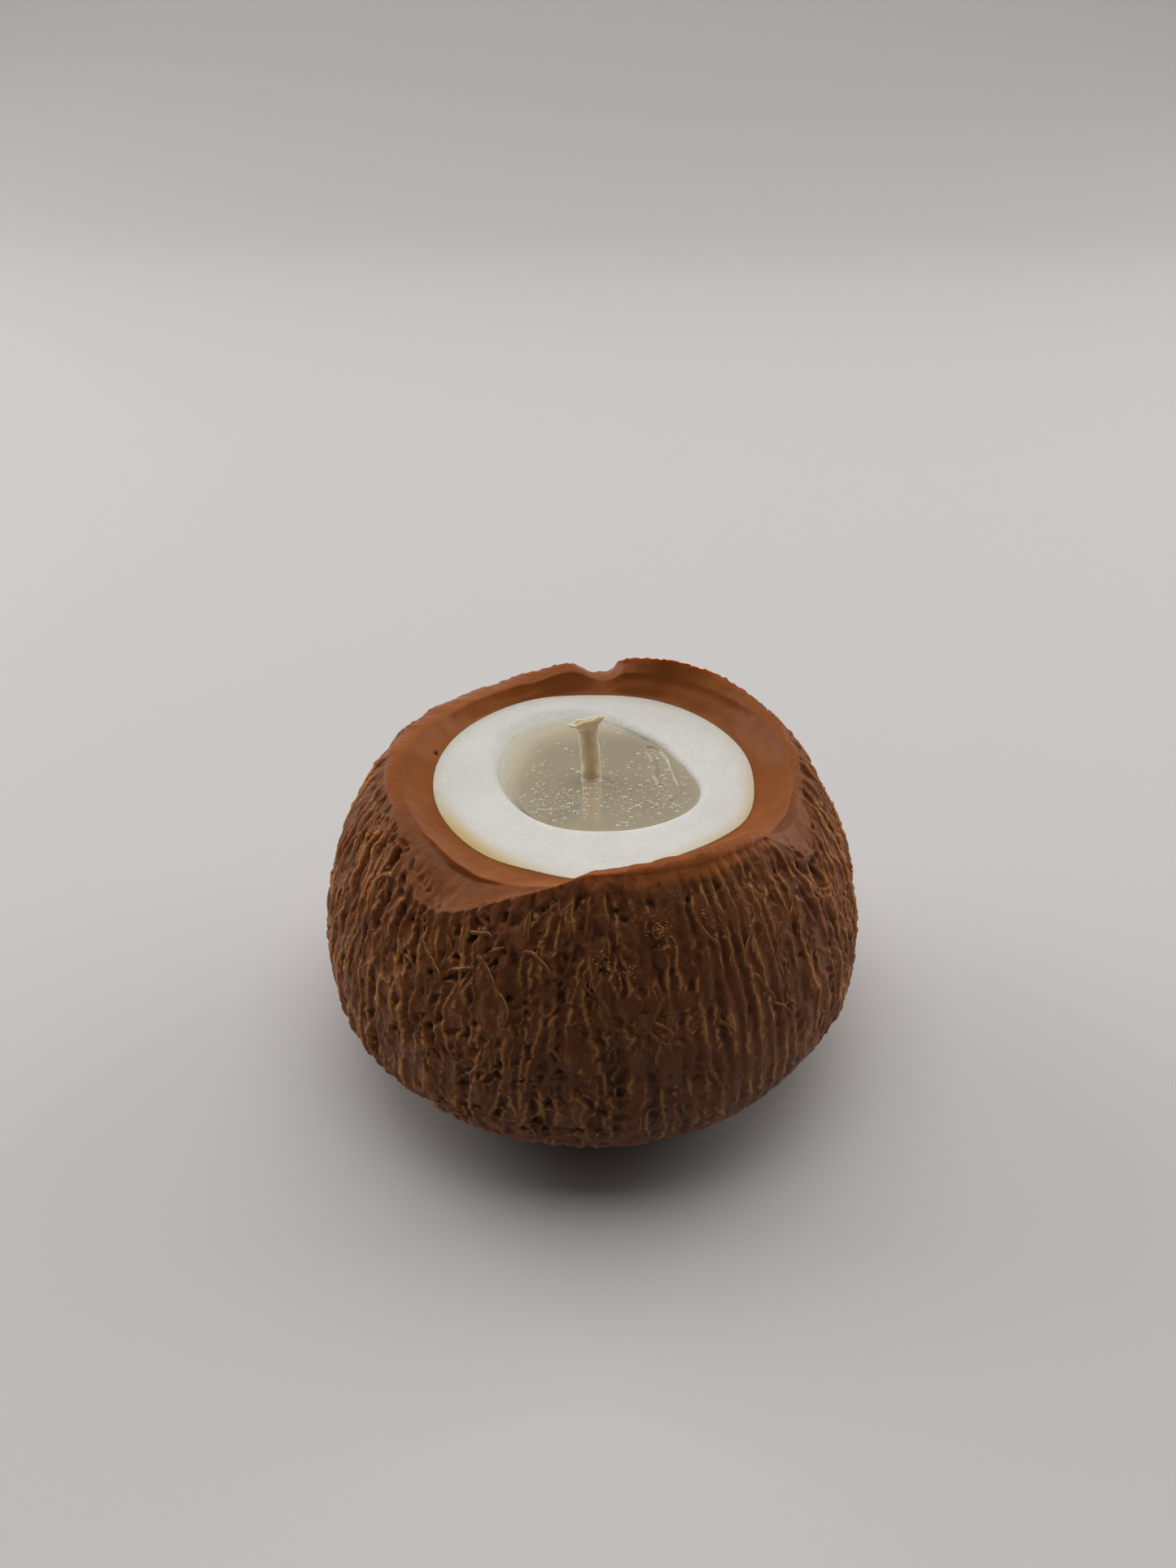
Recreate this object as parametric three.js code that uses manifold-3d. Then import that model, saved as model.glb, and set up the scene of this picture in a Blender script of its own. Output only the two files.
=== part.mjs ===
// Coconut candle: a ridged brown wax cup with a broken rim, filled with white wax whose hollow
// holds clear gel wax, a braided wick and the wick's metal foot.
// Millimetres, +Z up. The origin is on the flat base, below the candle's middle. -Y is the front.

import * as THREE from 'three';
import { mergeVertices } from 'three/addons/utils/BufferGeometryUtils.js';
import Module from 'manifold-3d';

const wasm = await Module();
wasm.setup();

const DEG = Math.PI / 180;

// ---- Driving dimensions -------------------------------------------------------------------

// Outside of the cup: half an ellipse above its widest ring and a flatter one below it.
const CUP_RADIUS = 46;
const WIDEST_Z = 21.2;
const BELLY_DEPTH = 23;
const SHOULDER_HEIGHT = 49.2;
const LEAN = 0.035;                 // the cup leans this much towards -X, for each mm of height
// The shoulder stands taller at the back right: by how much, at which angle, and over how many
// degrees to each side it fades.
const SHOULDER_RISE = 2.8;
const SHOULDER_RISE_AT = 48;
const SHOULDER_RISE_WIDTH = 50;

// Husk ridges: sharp vertical crests that wander, with pits between them.
const RIDGES = 58;
const COLUMNS_PER_RIDGE = 3;        // one column of points on the crest, the others in the valley
const RIDGE_DEPTH = 2.0;
const WANDER = 0.045;               // radians that a crest swings to each side
const LINKS_PER_RIDGE = 15;         // places up a valley where a cross ridge may fill it
const LINK_SHARE = 0.36;            // share of those places that have one
const LINK_DEPTH = 0.45;            // depth of a cross ridge, as a share of the valley's
const LINK_EDGE = 0.15;             // how softly the links of that share begin
const CREST_SAG = 0.3;              // most that a crest sinks, as a share of the valley's depth
const RELIEF_AT_EDGE = 0.4;         // share of the relief that is left at the husk's upper edge

// Rows of points up the outside, below and above the widest ring.
const BELLY_ROWS = 9;
const SHOULDER_ROWS = 14;

// The husk's upper edge as [angle, height], broken down at the front left, at the front right, at
// a notch behind the wick and along the back left. Angles are in degrees round +Z from +X.
const EDGE = [
  [-180, 54.6], [-160, 54.8], [-150, 53.7], [-140, 51.4], [-130, 48.9], [-122, 49.9], [-110, 53.2],
  [-98, 55.6], [-89, 56.9], [-70, 56.7], [-45, 55.9], [-38, 55.4], [-30, 51.0], [-25, 48.9],
  [-17, 51.6], [-9, 54.4], [0, 54.8], [22, 55.0], [45, 56.7], [62, 57.6], [74, 56.1],
  [79.5, 55.0], [83.5, 50.8], [88, 50.5], [92, 52.6], [96, 54.2], [99, 54.0], [106, 52.4],
  [118, 51.6], [135, 51.3], [158, 52.9],
];

// The inner edge of the rim: [angle, radius, height].
const LIP = [
  [-180, 30.5, 53.9], [-150, 30.4, 53.6], [-133, 30.9, 53.0], [-122, 31.0, 51.9],
  [-104, 29.6, 51.4], [-95, 28.2, 51.4], [-88, 29.2, 55.4], [-64, 29.8, 56.6],
  [-44, 30.2, 55.8], [-34, 32.2, 54.5], [-10, 31.8, 54.2], [20, 31.4, 54.6],
  [50, 31.2, 54.4], [78, 30.8, 53.8], [86, 30.4, 51.8], [97, 30.4, 53.8], [112, 30.4, 52.6],
  [140, 30.4, 52.6],
];

// The rim: it swells where it is whole, and is scooped out where its two edges are more than a
// step apart in height. The inner wall climbs from the white wax to the lip, hollow in between.
const RIM_CROWN = 0.5;
const CHIP_STEP = 1.4;
const CHIP_SCOOP = 0.4;
const WALL_OUT = 0.55;
const WALL_UP = 0.36;

// White wax: its level, and its outline inside the cup as [angle, radius].
const WHITE_Z = 50.2;
const WHITE_EDGE = [
  [-180, 25.9], [-150, 25.0], [-130, 24.7], [-110, 24.0], [-92, 24.4], [-78, 23.4], [-62, 22.5],
  [-50, 22.9], [-38, 24.0], [-22, 25.7], [0, 26.1], [20, 27.0], [45, 27.8], [68, 28.3],
  [90, 27.8], [112, 28.3], [135, 27.8], [160, 26.8],
];
const CAVITY_FLOOR_Z = 9;
const CAVITY_FLOOR_SHARE = 0.55;    // width of the flat floor over the width of the mouth
const BOWL_POWER = 0.9;             // below 1, a bowl's wall drops faster just under its mouth
const CAVITY_STEPS = [0, 0.4, 0.75, 1];

// Gel: its level, and its outline round its own centre as [angle, radius].
const GEL_Z = 49.2;
const GEL_CENTRE = new THREE.Vector2(1, 4.6);
const GEL_EDGE = [
  [-180, 16.8], [-158, 16.4], [-115, 16.8], [-91, 16.5], [-67, 17.0], [-31, 18.0], [-19, 17.4],
  [-4, 15.4], [16, 13.6], [46, 13.2], [69, 14.2], [90, 16.5], [115, 18.3], [140, 18.6], [160, 17.4],
];
const HOLLOW_FLOOR_Z = 20;
const HOLLOW_FLOOR_SHARE = 0.68;
const HOLLOW_STEPS = [0, 0.25, 0.5, 0.75, 1];
// The white wax rounds over into the hollow: [distance outside the gel, share of the height].
const ROUNDING = [[1.5, 1], [0.5, 0.7]];
const FILL_COLUMNS = 64;            // points round the white wax and the gel

// Wick: a flat braid that leans towards -X above the gel and spreads at its cut end.
const WICK_FOOT = new THREE.Vector2(-0.2, 3.5);
const WICK_HALF_WIDTH = 1.6;
const WICK_HALF_THICKNESS = 1.1;
const WICK_TOP_Z = 61.5;
const WICK_LEAN = 0.9;
const WICK_BEND = 1.3;              // 1 is a straight lean, more bends it
const WICK_FLARE = 1.6;             // width of the cut end over the width of the braid
const WICK_FLARE_LENGTH = 3.2;
const WICK_FLARE_THICKNESS = 0.4;   // share of the flare that the braid's thickness takes part in
const WICK_SIDES = 12;
const WICK_STEPS = 8;

// Metal foot of the wick: a round plate with a neck, and a hole right through.
const TAB_RADIUS = 9;
const TAB_THICKNESS = 0.5;
const TAB_NECK_RADIUS = 2.6;
const TAB_NECK_HEIGHT = 5;
const TAB_COLLAR_WIDTH = 0.6;       // the neck widens into the plate by this much, from this high
const TAB_COLLAR_HEIGHT = 0.8;
const TAB_BORE = 2.0;
const TAB_SIDES = 32;

// Room between two pieces that touch.
const GAP = 0.35;

// ---- Small helpers ------------------------------------------------------------------------

const mix = (a, b, t) => a + (b - a) * t;

const smooth = (low, high, x) => THREE.MathUtils.smoothstep(x, low, high);

// A repeatable number from 0 to 1 for each pair of whole numbers.
function hash(i, j) {
  const s = Math.sin(i * 127.1 + j * 311.7) * 43758.5453;
  return s - Math.floor(s);
}

// Reads column "k" of a closed list of [angle, values...] at any angle, along a smooth curve that
// never swings past the listed values.
function around(list, angle, k = 1) {
  const n = list.length;
  const a = ((angle + 180) % 360 + 360) % 360 - 180;
  let i = n - 1;
  while (i > 0 && list[i][0] > a) {
    i -= 1;
  }
  const span = (j) => (list[(j + 1) % n][0] - list[j % n][0] + 360) % 360;
  const slope = (j) => (list[(j + 1) % n][k] - list[j % n][k]) / span(j);
  const tangent = (before, after) => {
    const least = Math.min(Math.abs(before), Math.abs(after));
    return before * after > 0 ? Math.sign(after) * Math.min(Math.abs(before + after) / 2, 3 * least) : 0;
  };
  const t = (a - list[i][0]) / span(i);
  const enter = tangent(slope(i + n - 1), slope(i)) * span(i);
  const leave = tangent(slope(i), slope(i + 1)) * span(i);
  const ends = mix(list[i][k], list[(i + 1) % n][k], t * t * (3 - 2 * t));
  return ends + t * (1 - t) * ((1 - t) * enter - t * leave);
}

// 1 at one angle, falling smoothly to 0 at "width" degrees to each side.
function bump(degrees, middle, width) {
  const off = Math.abs(((degrees - middle + 180) % 360 + 360) % 360 - 180);
  return 1 - smooth(0, width, off);
}

// A closed body through rings of points, each closed at its ends by a fan to the ring's middle.
function loft(rings) {
  const sides = rings[0].length;
  const positions = [];
  const index = [];
  for (const ring of rings) {
    for (const p of ring) {
      positions.push(p.x, p.y, p.z);
    }
  }
  for (let r = 0; r + 1 < rings.length; r += 1) {
    for (let i = 0; i < sides; i += 1) {
      const a = r * sides + i;
      const b = r * sides + (i + 1) % sides;
      index.push(a, b, b + sides, a, b + sides, a + sides);
    }
  }
  const last = rings.length - 1;
  const middle = (points) => points.reduce((sum, p) => sum.add(p), new THREE.Vector3()).divideScalar(sides);
  for (const [r, flip] of [[0, true], [last, false]]) {
    const centre = middle(rings[r]);
    const c = positions.length / 3;
    positions.push(centre.x, centre.y, centre.z);
    for (let i = 0; i < sides; i += 1) {
      const a = r * sides + i;
      const b = r * sides + (i + 1) % sides;
      index.push(...(flip ? [b, a, c] : [a, b, c]));
    }
  }
  const geometry = new THREE.BufferGeometry();
  geometry.setAttribute('position', new THREE.Float32BufferAttribute(positions, 3));
  geometry.setIndex(index);
  return geometry;
}

// ---- Boolean cut --------------------------------------------------------------------------

function toManifold(geometry) {
  const bare = geometry.clone();
  bare.deleteAttribute('normal');
  bare.deleteAttribute('uv');
  const merged = mergeVertices(bare, 1e-4);
  return new wasm.Manifold(new wasm.Mesh({
    numProp: 3,
    vertProperties: new Float32Array(merged.attributes.position.array),
    triVerts: new Uint32Array(merged.index.array),
  }));
}

function fromManifold(solid) {
  const mesh = solid.getMesh();
  const geometry = new THREE.BufferGeometry();
  geometry.setAttribute('position', new THREE.BufferAttribute(mesh.vertProperties, 3));
  geometry.setIndex(new THREE.BufferAttribute(mesh.triVerts, 1));
  return geometry;
}

// ---- Brown cup ----------------------------------------------------------------------------

// How far the crests swing round, at column angle "a" and height share "v".
function wander(a, v) {
  const fade = smooth(0, 0.1, v) * (1 - smooth(0.84, 0.98, v));
  return WANDER * fade * (0.6 * Math.sin(11 * v + 3 * a) + 0.4 * Math.sin(23 * v - 5 * a));
}

// Depth below the highest crests. A crest sinks a little here and there, and a cross ridge fills
// a whole valley from crest to crest.
function relief(column, v) {
  const fade = smooth(-0.02, 0.08, v) * mix(1, RELIEF_AT_EDGE, smooth(0.88, 1, v));
  const ridge = Math.floor(column / COLUMNS_PER_RIDGE);
  const crest = column % COLUMNS_PER_RIDGE === 0;
  const level = v * LINKS_PER_RIDGE + hash(ridge, 3);
  const place = Math.floor(level);
  const tone = mix(hash(ridge, place), hash(ridge, place + 1), smooth(0.2, 0.8, level - place));
  if (crest) {
    return RIDGE_DEPTH * fade * CREST_SAG * tone;
  }
  const linked = smooth(1 - LINK_SHARE - LINK_EDGE, 1 - LINK_SHARE + LINK_EDGE, tone);
  return RIDGE_DEPTH * fade * mix(1, LINK_DEPTH, linked);
}

// A point of the outside, "v" from 0 at the base to 1 at the husk's upper edge.
function outsidePoint(column, columns, v) {
  const a = column / columns * 2 * Math.PI;
  const angle = a - wander(a, v);
  const widest = WIDEST_Z + LEAN * CUP_RADIUS * Math.cos(angle);
  const belly = BELLY_DEPTH + widest - WIDEST_Z;
  const degrees = Math.atan2(Math.sin(angle), Math.cos(angle)) / DEG;
  const low = Math.asin(-widest / belly);
  const shoulder = SHOULDER_HEIGHT + SHOULDER_RISE * bump(degrees, SHOULDER_RISE_AT, SHOULDER_RISE_WIDTH);
  const high = Math.asin((around(EDGE, degrees) - widest) / shoulder);
  const share = BELLY_ROWS / (BELLY_ROWS + SHOULDER_ROWS);
  const turn = v < share ? low * (1 - v / share) : high * (v - share) / (1 - share);
  const z = widest + Math.sin(turn) * (turn < 0 ? belly : shoulder);
  const depth = relief(column, v);
  const radius = CUP_RADIUS * Math.cos(turn) - depth * Math.cos(turn * 0.8);
  const shift = -LEAN * (z - WIDEST_Z);
  return new THREE.Vector3(radius * Math.cos(angle) + shift, radius * Math.sin(angle), z);
}

// Radius and height down a bowl, "t" from 0 at its mouth to 1 at the edge of its flat floor,
// moved inwards by "inset" square to the wall.
function bowlPoint(mouthRadius, mouthZ, floorZ, floorShare, t, inset) {
  const turn = t * Math.PI / 2;
  const across = mix(1, floorShare, 1 - Math.cos(turn));
  const down = Math.sin(turn) ** BOWL_POWER;
  return {
    radius: mouthRadius * across - inset * Math.cos(turn),
    z: mix(mouthZ, floorZ, down) + inset * Math.sin(turn),
  };
}

// A ring of points: "make" gives each point from its angle in degrees, from 0 round to 360.
function ring(sides, make) {
  return Array.from({ length: sides }, (_, i) => make(i / sides * 360, i));
}

function polar(radius, degrees, z, centre = new THREE.Vector2()) {
  const a = degrees * DEG;
  return new THREE.Vector3(centre.x + radius * Math.cos(a), centre.y + radius * Math.sin(a), z);
}

// The bowl that the white wax fills, from its level down to the flat floor.
function cavityRings(sides, inset) {
  return CAVITY_STEPS.map((t) => ring(sides, (degrees) => {
    const mouth = around(WHITE_EDGE, degrees);
    const { radius, z } = bowlPoint(mouth, WHITE_Z, CAVITY_FLOOR_Z, CAVITY_FLOOR_SHARE, t, inset);
    return polar(radius, degrees, z);
  }));
}

function makeCup() {
  const columns = RIDGES * COLUMNS_PER_RIDGE;
  const rows = BELLY_ROWS + SHOULDER_ROWS;
  const rings = [];
  for (let row = 0; row <= rows; row += 1) {
    rings.push(ring(columns, (_, i) => outsidePoint(i, columns, row / rows)));
  }
  // The rim is rounded where it is whole and scooped out where a chip has gone.
  const lip = ring(columns, (degrees) => polar(around(LIP, degrees, 1), degrees, around(LIP, degrees, 2)));
  const rim = ring(columns, (_, i) => {
    const edge = rings[rows][i];
    const chipped = smooth(CHIP_STEP, 2.5 * CHIP_STEP, Math.abs(edge.z - lip[i].z));
    const top = edge.clone().lerp(lip[i], 0.5);
    top.z += mix(RIM_CROWN, -CHIP_SCOOP, chipped);
    return top;
  });
  const wall = ring(columns, (degrees, i) => {
    const point = polar(around(WHITE_EDGE, degrees), degrees, WHITE_Z).lerp(lip[i], WALL_OUT);
    return point.setZ(mix(WHITE_Z, lip[i].z, WALL_UP));
  });
  return loft([...rings, rim, lip, wall, ...cavityRings(columns, 0)]);
}

// ---- White wax ----------------------------------------------------------------------------

// The hollow that the gel fills, from the gel's level down to the flat floor.
function hollowRings(inset) {
  return HOLLOW_STEPS.map((t) => ring(FILL_COLUMNS, (degrees) => {
    const mouth = around(GEL_EDGE, degrees);
    const { radius, z } = bowlPoint(mouth, GEL_Z, HOLLOW_FLOOR_Z, HOLLOW_FLOOR_SHARE, t, inset);
    return polar(radius, degrees, z, GEL_CENTRE);
  }));
}

function makeWhiteWax() {
  const rounding = ROUNDING.map(([out, up]) => ring(FILL_COLUMNS, (degrees) => {
    const radius = around(GEL_EDGE, degrees) + out;
    return polar(radius, degrees, mix(GEL_Z, WHITE_Z, up), GEL_CENTRE);
  }));
  return loft([...cavityRings(FILL_COLUMNS, GAP).reverse(), ...rounding, ...hollowRings(0)]);
}

// ---- Wick and its metal foot --------------------------------------------------------------

const TAB_Z = HOLLOW_FLOOR_Z + GAP;
const WICK_BOTTOM_Z = TAB_Z + TAB_THICKNESS;

// A ring of the wick at height z, made larger all round by "grow".
function wickRing(z, grow) {
  const above = Math.max(0, (z - GEL_Z) / (WICK_TOP_Z - GEL_Z));
  const x = WICK_FOOT.x - WICK_LEAN * above ** WICK_BEND;
  const flare = mix(1, WICK_FLARE, smooth(WICK_TOP_Z - WICK_FLARE_LENGTH, WICK_TOP_Z, z));
  const halfWidth = WICK_HALF_WIDTH * flare + grow;
  const halfThickness = WICK_HALF_THICKNESS * mix(1, flare, WICK_FLARE_THICKNESS) + grow;
  return ring(WICK_SIDES, (degrees) => {
    const a = degrees * DEG;
    return new THREE.Vector3(x + halfWidth * Math.cos(a), WICK_FOOT.y + halfThickness * Math.sin(a), z);
  });
}

function makeWick() {
  const heights = [WICK_BOTTOM_Z, GEL_Z];
  for (let i = 1; i <= WICK_STEPS; i += 1) {
    heights.push(mix(GEL_Z, WICK_TOP_Z, i / WICK_STEPS));
  }
  return loft(heights.map((z) => wickRing(z, 0)));
}

function tabProfile(bore, grow) {
  const top = TAB_Z + TAB_THICKNESS + grow;
  return [
    new THREE.Vector2(bore, TAB_Z - grow),
    new THREE.Vector2(TAB_RADIUS + grow, TAB_Z - grow),
    new THREE.Vector2(TAB_RADIUS + grow, top),
    new THREE.Vector2(TAB_NECK_RADIUS + TAB_COLLAR_WIDTH + grow, top),
    new THREE.Vector2(TAB_NECK_RADIUS + grow, top + TAB_COLLAR_HEIGHT),
    new THREE.Vector2(TAB_NECK_RADIUS + grow, TAB_Z + TAB_NECK_HEIGHT + grow),
    new THREE.Vector2(bore, TAB_Z + TAB_NECK_HEIGHT + grow),
    new THREE.Vector2(bore, TAB_Z - grow),
  ];
}

function latheTab(profile) {
  const geometry = new THREE.LatheGeometry(profile, TAB_SIDES);
  geometry.rotateX(Math.PI / 2);
  geometry.translate(WICK_FOOT.x, WICK_FOOT.y, 0);
  return geometry;
}

function makeTab() {
  return latheTab(tabProfile(TAB_BORE, 0));
}

// ---- Gel wax ------------------------------------------------------------------------------

// The filled hollow, less the room for the wick and for its foot.
function makeGel() {
  const block = toManifold(loft(hollowRings(GAP).reverse()));
  const wickRoom = loft([TAB_Z, GEL_Z + 1].map((z) => wickRing(GEL_Z, GAP).map((p) => p.setZ(z))));
  const footRoom = latheTab(tabProfile(0, GAP));
  return fromManifold(block.subtract(toManifold(wickRoom)).subtract(toManifold(footRoom)));
}

// ---- Assembly -----------------------------------------------------------------------------

function piece(name, geometry, color, roughness, metalness = 0) {
  const mesh = new THREE.Mesh(geometry, new THREE.MeshStandardMaterial({ color, roughness, metalness }));
  mesh.name = name;
  return mesh;
}

const candle = new THREE.Group();
candle.add(piece('husk_shell', makeCup(), 0x7a4423, 0.5));
candle.add(piece('white_wax', makeWhiteWax(), 0xe6e8e2, 0.45));
candle.add(piece('gel_wax', makeGel(), 0xcfcbb8, 0.12));
candle.add(piece('wick', makeWick(), 0xd9caa4, 0.8));
candle.add(piece('wick_tab', makeTab(), 0xa8a9ab, 0.35, 1));

export default candle;
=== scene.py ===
"""Coconut candle: a ridged brown wax cup with a broken rim, white wax, clear gel with bubbles, and a wick.

Shapes are worked out in millimetres in the part's own frame (+Z up, origin under the middle of the
base, -Y the front) and turned into metres when each mesh is made. Angles are in degrees round +Z
from +X. On the husk, "a" is an angle in radians and "v" the share of the way up from the base.
"""
import math

import bpy
import numpy as np
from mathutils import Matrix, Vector


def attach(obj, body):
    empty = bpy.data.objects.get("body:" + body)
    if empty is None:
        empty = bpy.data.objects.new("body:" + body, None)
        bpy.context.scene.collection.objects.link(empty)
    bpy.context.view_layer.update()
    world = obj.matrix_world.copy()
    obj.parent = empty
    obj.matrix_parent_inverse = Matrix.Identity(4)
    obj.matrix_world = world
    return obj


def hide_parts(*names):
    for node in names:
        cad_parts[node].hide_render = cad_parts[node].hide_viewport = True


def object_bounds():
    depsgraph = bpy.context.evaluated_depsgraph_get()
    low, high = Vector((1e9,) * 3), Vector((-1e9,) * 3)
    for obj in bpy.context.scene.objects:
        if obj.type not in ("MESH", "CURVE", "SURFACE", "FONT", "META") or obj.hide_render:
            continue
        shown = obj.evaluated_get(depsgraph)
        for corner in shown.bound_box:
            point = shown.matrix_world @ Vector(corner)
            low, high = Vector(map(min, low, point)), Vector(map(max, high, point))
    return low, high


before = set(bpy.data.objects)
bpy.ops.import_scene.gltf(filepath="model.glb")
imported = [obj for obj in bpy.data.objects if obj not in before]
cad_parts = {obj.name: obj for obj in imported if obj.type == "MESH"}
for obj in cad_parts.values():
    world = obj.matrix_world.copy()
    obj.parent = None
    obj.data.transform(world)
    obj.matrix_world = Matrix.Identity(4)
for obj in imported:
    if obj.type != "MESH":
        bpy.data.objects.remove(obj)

cad_low, cad_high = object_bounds()

MM = 0.001
BOX_MARGIN = 0.03
BOX_LOW = np.array([cad_low[0], cad_low[1]]) / MM + BOX_MARGIN
BOX_HIGH = np.array([cad_high[0], cad_high[1]]) / MM - BOX_MARGIN

# ---- The candle's dimensions, as in the part's source ----

CUP_RADIUS = 46
WIDEST_Z = 21.2
BELLY_DEPTH = 23
SHOULDER_HEIGHT = 49.2
LEAN = 0.035
SHOULDER_RISE = 2.8
SHOULDER_RISE_AT = 48
SHOULDER_RISE_WIDTH = 50
RIDGES = 58
WANDER = 0.045
LINKS_PER_RIDGE = 15
LINK_SHARE = 0.36
LINK_EDGE = 0.15
LINK_DEPTH = 0.45
CREST_SAG = 0.3
BELLY_SHARE = 9 / 23
# The husk's upper edge as (angle, height).
EDGE = [
    (-180, 54.6), (-160, 54.8), (-150, 53.7), (-140, 51.4), (-130, 48.9), (-122, 49.9), (-110, 53.2),
    (-98, 55.6), (-89, 56.9), (-70, 56.7), (-45, 55.9), (-38, 55.4), (-30, 51.0), (-25, 48.9),
    (-17, 51.6), (-9, 54.4), (0, 54.8), (22, 55.0), (45, 56.7), (62, 57.6), (74, 56.1),
    (79.5, 55.0), (83.5, 50.8), (88, 50.5), (92, 52.6), (96, 54.2), (99, 54.0), (106, 52.4),
    (118, 51.6), (135, 51.3), (158, 52.9),
]
# The inner edge of the rim as (angle, radius, height).
LIP = [
    (-180, 30.5, 53.9), (-150, 30.4, 53.6), (-133, 30.7, 53.0), (-122, 30.5, 51.9),
    (-104, 28.4, 51.6), (-95, 27.4, 51.7), (-88, 29.0, 55.4), (-64, 29.8, 56.6),
    (-44, 30.2, 55.8), (-34, 32.2, 54.5), (-10, 31.8, 54.2), (20, 31.4, 54.6),
    (50, 31.2, 54.4), (78, 30.8, 53.8), (86, 30.4, 51.8), (97, 30.4, 53.8), (112, 30.4, 52.6),
    (140, 30.4, 52.6),
]
RIM_CROWN = 0.5
# Level of the white wax, its outline as (angle, radius), and the bowl that it fills.
WHITE_Z = 50.2
WHITE_EDGE = [
    (-180, 25.9), (-150, 25.0), (-130, 24.7), (-110, 24.0), (-92, 24.4), (-78, 23.4), (-62, 22.5),
    (-50, 22.9), (-38, 24.0), (-22, 25.7), (0, 26.1), (20, 27.0), (45, 27.8), (68, 28.3),
    (90, 27.8), (112, 28.3), (135, 27.8), (160, 26.8),
]
CAVITY_FLOOR_Z = 9
CAVITY_FLOOR_SHARE = 0.55
BOWL_POWER = 0.9
# Level of the gel, its outline round its own centre, and the hollow that it fills.
GEL_Z = 49.2
GEL_CENTRE = (1, 4.6)
GEL_EDGE = [
    (-180, 16.8), (-158, 16.4), (-115, 16.8), (-91, 16.5), (-67, 17.0), (-31, 18.0), (-19, 17.4),
    (-4, 15.4), (16, 13.6), (46, 13.2), (69, 14.2), (90, 16.5), (115, 18.3), (140, 18.6), (160, 17.4),
]
HOLLOW_FLOOR_Z = 20
HOLLOW_FLOOR_SHARE = 0.68
WICK_FOOT = (-0.2, 3.5)
WICK_HALF_WIDTH = 1.6
WICK_HALF_THICKNESS = 1.1
WICK_TOP_Z = 61.5
WICK_LEAN = 0.9
WICK_BEND = 1.3
TAB_THICKNESS = 0.5
GAP = 0.35

# ---- Detail of the cup ----

COLUMNS = 960  # points round the cup
LOWER_ROWS = 90  # rows of points in the three bands of the outside
MIDDLE_ROWS = 84
UPPER_ROWS = 50
WALL_ROWS = 14
BELLY_ARC = 36.0  # length of the outside below and above the widest ring
SHOULDER_ARC = 38.0
BAND_THICKNESS = 3.0
AROUND = 2 * math.pi * CUP_RADIUS
SEED = 11

# Zones round the candle as (middle angle, width to each side).
FRONT = (-88, 66)
FLUTES = (-60, 30)
SMOOTH_EDGE = (-66, 44)
ROLL = (-66, 46)
CROWN = (-62, 36)
GEL_THIN = (130, 100)
SOFT_SIDE = (130, 90)

# Depths of the husk's layers. Where there are two, the first is at the sides and the second in front.
RIDGE_DEPTH = 0.3
LONG_LINES = (0.46, 0.48)
SHORT_LINES = 0.2
FINE_LINES = 0.05
SCALES = (0.5, 0.12)
SCALE_COLUMNS = 108  # rows of wax scales round the husk
FRONT_PITS = 0.26
WARTS = 0.42
FLUTE_DEPTH = 0.22
FLUTE_PITCH = 2.65  # radians to a millimetre
SWELL = 0.3
ROLL_PITS = 0.35
ROLL_LUMPS = 0.5
FULLNESS = 1.3  # how far the belly stands out low down
TOP_LAYER = 0.3  # the crests are cut off level at this depth
# Single burst bubbles as (angle, height, radius, depth).
PITS = [
    (-144.0, 52.3, 0.75, 0.9), (-144.0, 51.2, 0.7, 0.8), (-58.0, 53.4, 0.5, 0.5), (-66.0, 53.2, 0.45, 0.5),
    (-75.0, 53.6, 0.55, 0.5), (-50.0, 52.6, 0.5, 0.5), (-83.0, 53.2, 0.5, 0.5), (-41.0, 51.6, 0.5, 0.5),
]


# ---- Small helpers ----

def mix(a, b, t):
    return a + (b - a) * t


def smooth(low, high, x):
    t = np.clip((x - low) / (high - low), 0, 1)
    return t * t * (3 - 2 * t)


def lattice(i, j, seed=0):
    """A repeatable number from 0 to 1 for each pair of whole numbers."""
    s = np.sin(i * 127.1 + j * 311.7 + seed * 74.7) * 43758.5453
    return s - np.floor(s)


def around(table, degrees, k=1):
    """Reads column k of a closed list of (angle, values...) at any angle, along a smooth curve that
    never swings past the listed values."""
    rows = np.array(table, float)
    angles, values = rows[:, 0], rows[:, k]
    span = (np.roll(angles, -1) - angles) % 360
    slope = (np.roll(values, -1) - values) / span
    before = np.roll(slope, 1)
    least = np.minimum(np.abs(slope + before) / 2, 3 * np.minimum(np.abs(slope), np.abs(before)))
    tangent = np.where(slope * before > 0, np.sign(slope) * least, 0)
    a = (np.asarray(degrees, float) + 180) % 360 - 180
    i = (np.searchsorted(angles, a, side="right") - 1) % len(rows)
    n = (i + 1) % len(rows)
    t = ((a - angles[i]) % 360) / span[i]
    ends = mix(values[i], values[n], t * t * (3 - 2 * t))
    return ends + t * (1 - t) * span[i] * ((1 - t) * tangent[i] - t * tangent[n])


def bump(degrees, middle, width):
    """1 at one angle, falling smoothly to 0 at "width" degrees to each side."""
    off = np.abs((degrees - middle + 180) % 360 - 180)
    return 1 - smooth(0, width, off)


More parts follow.
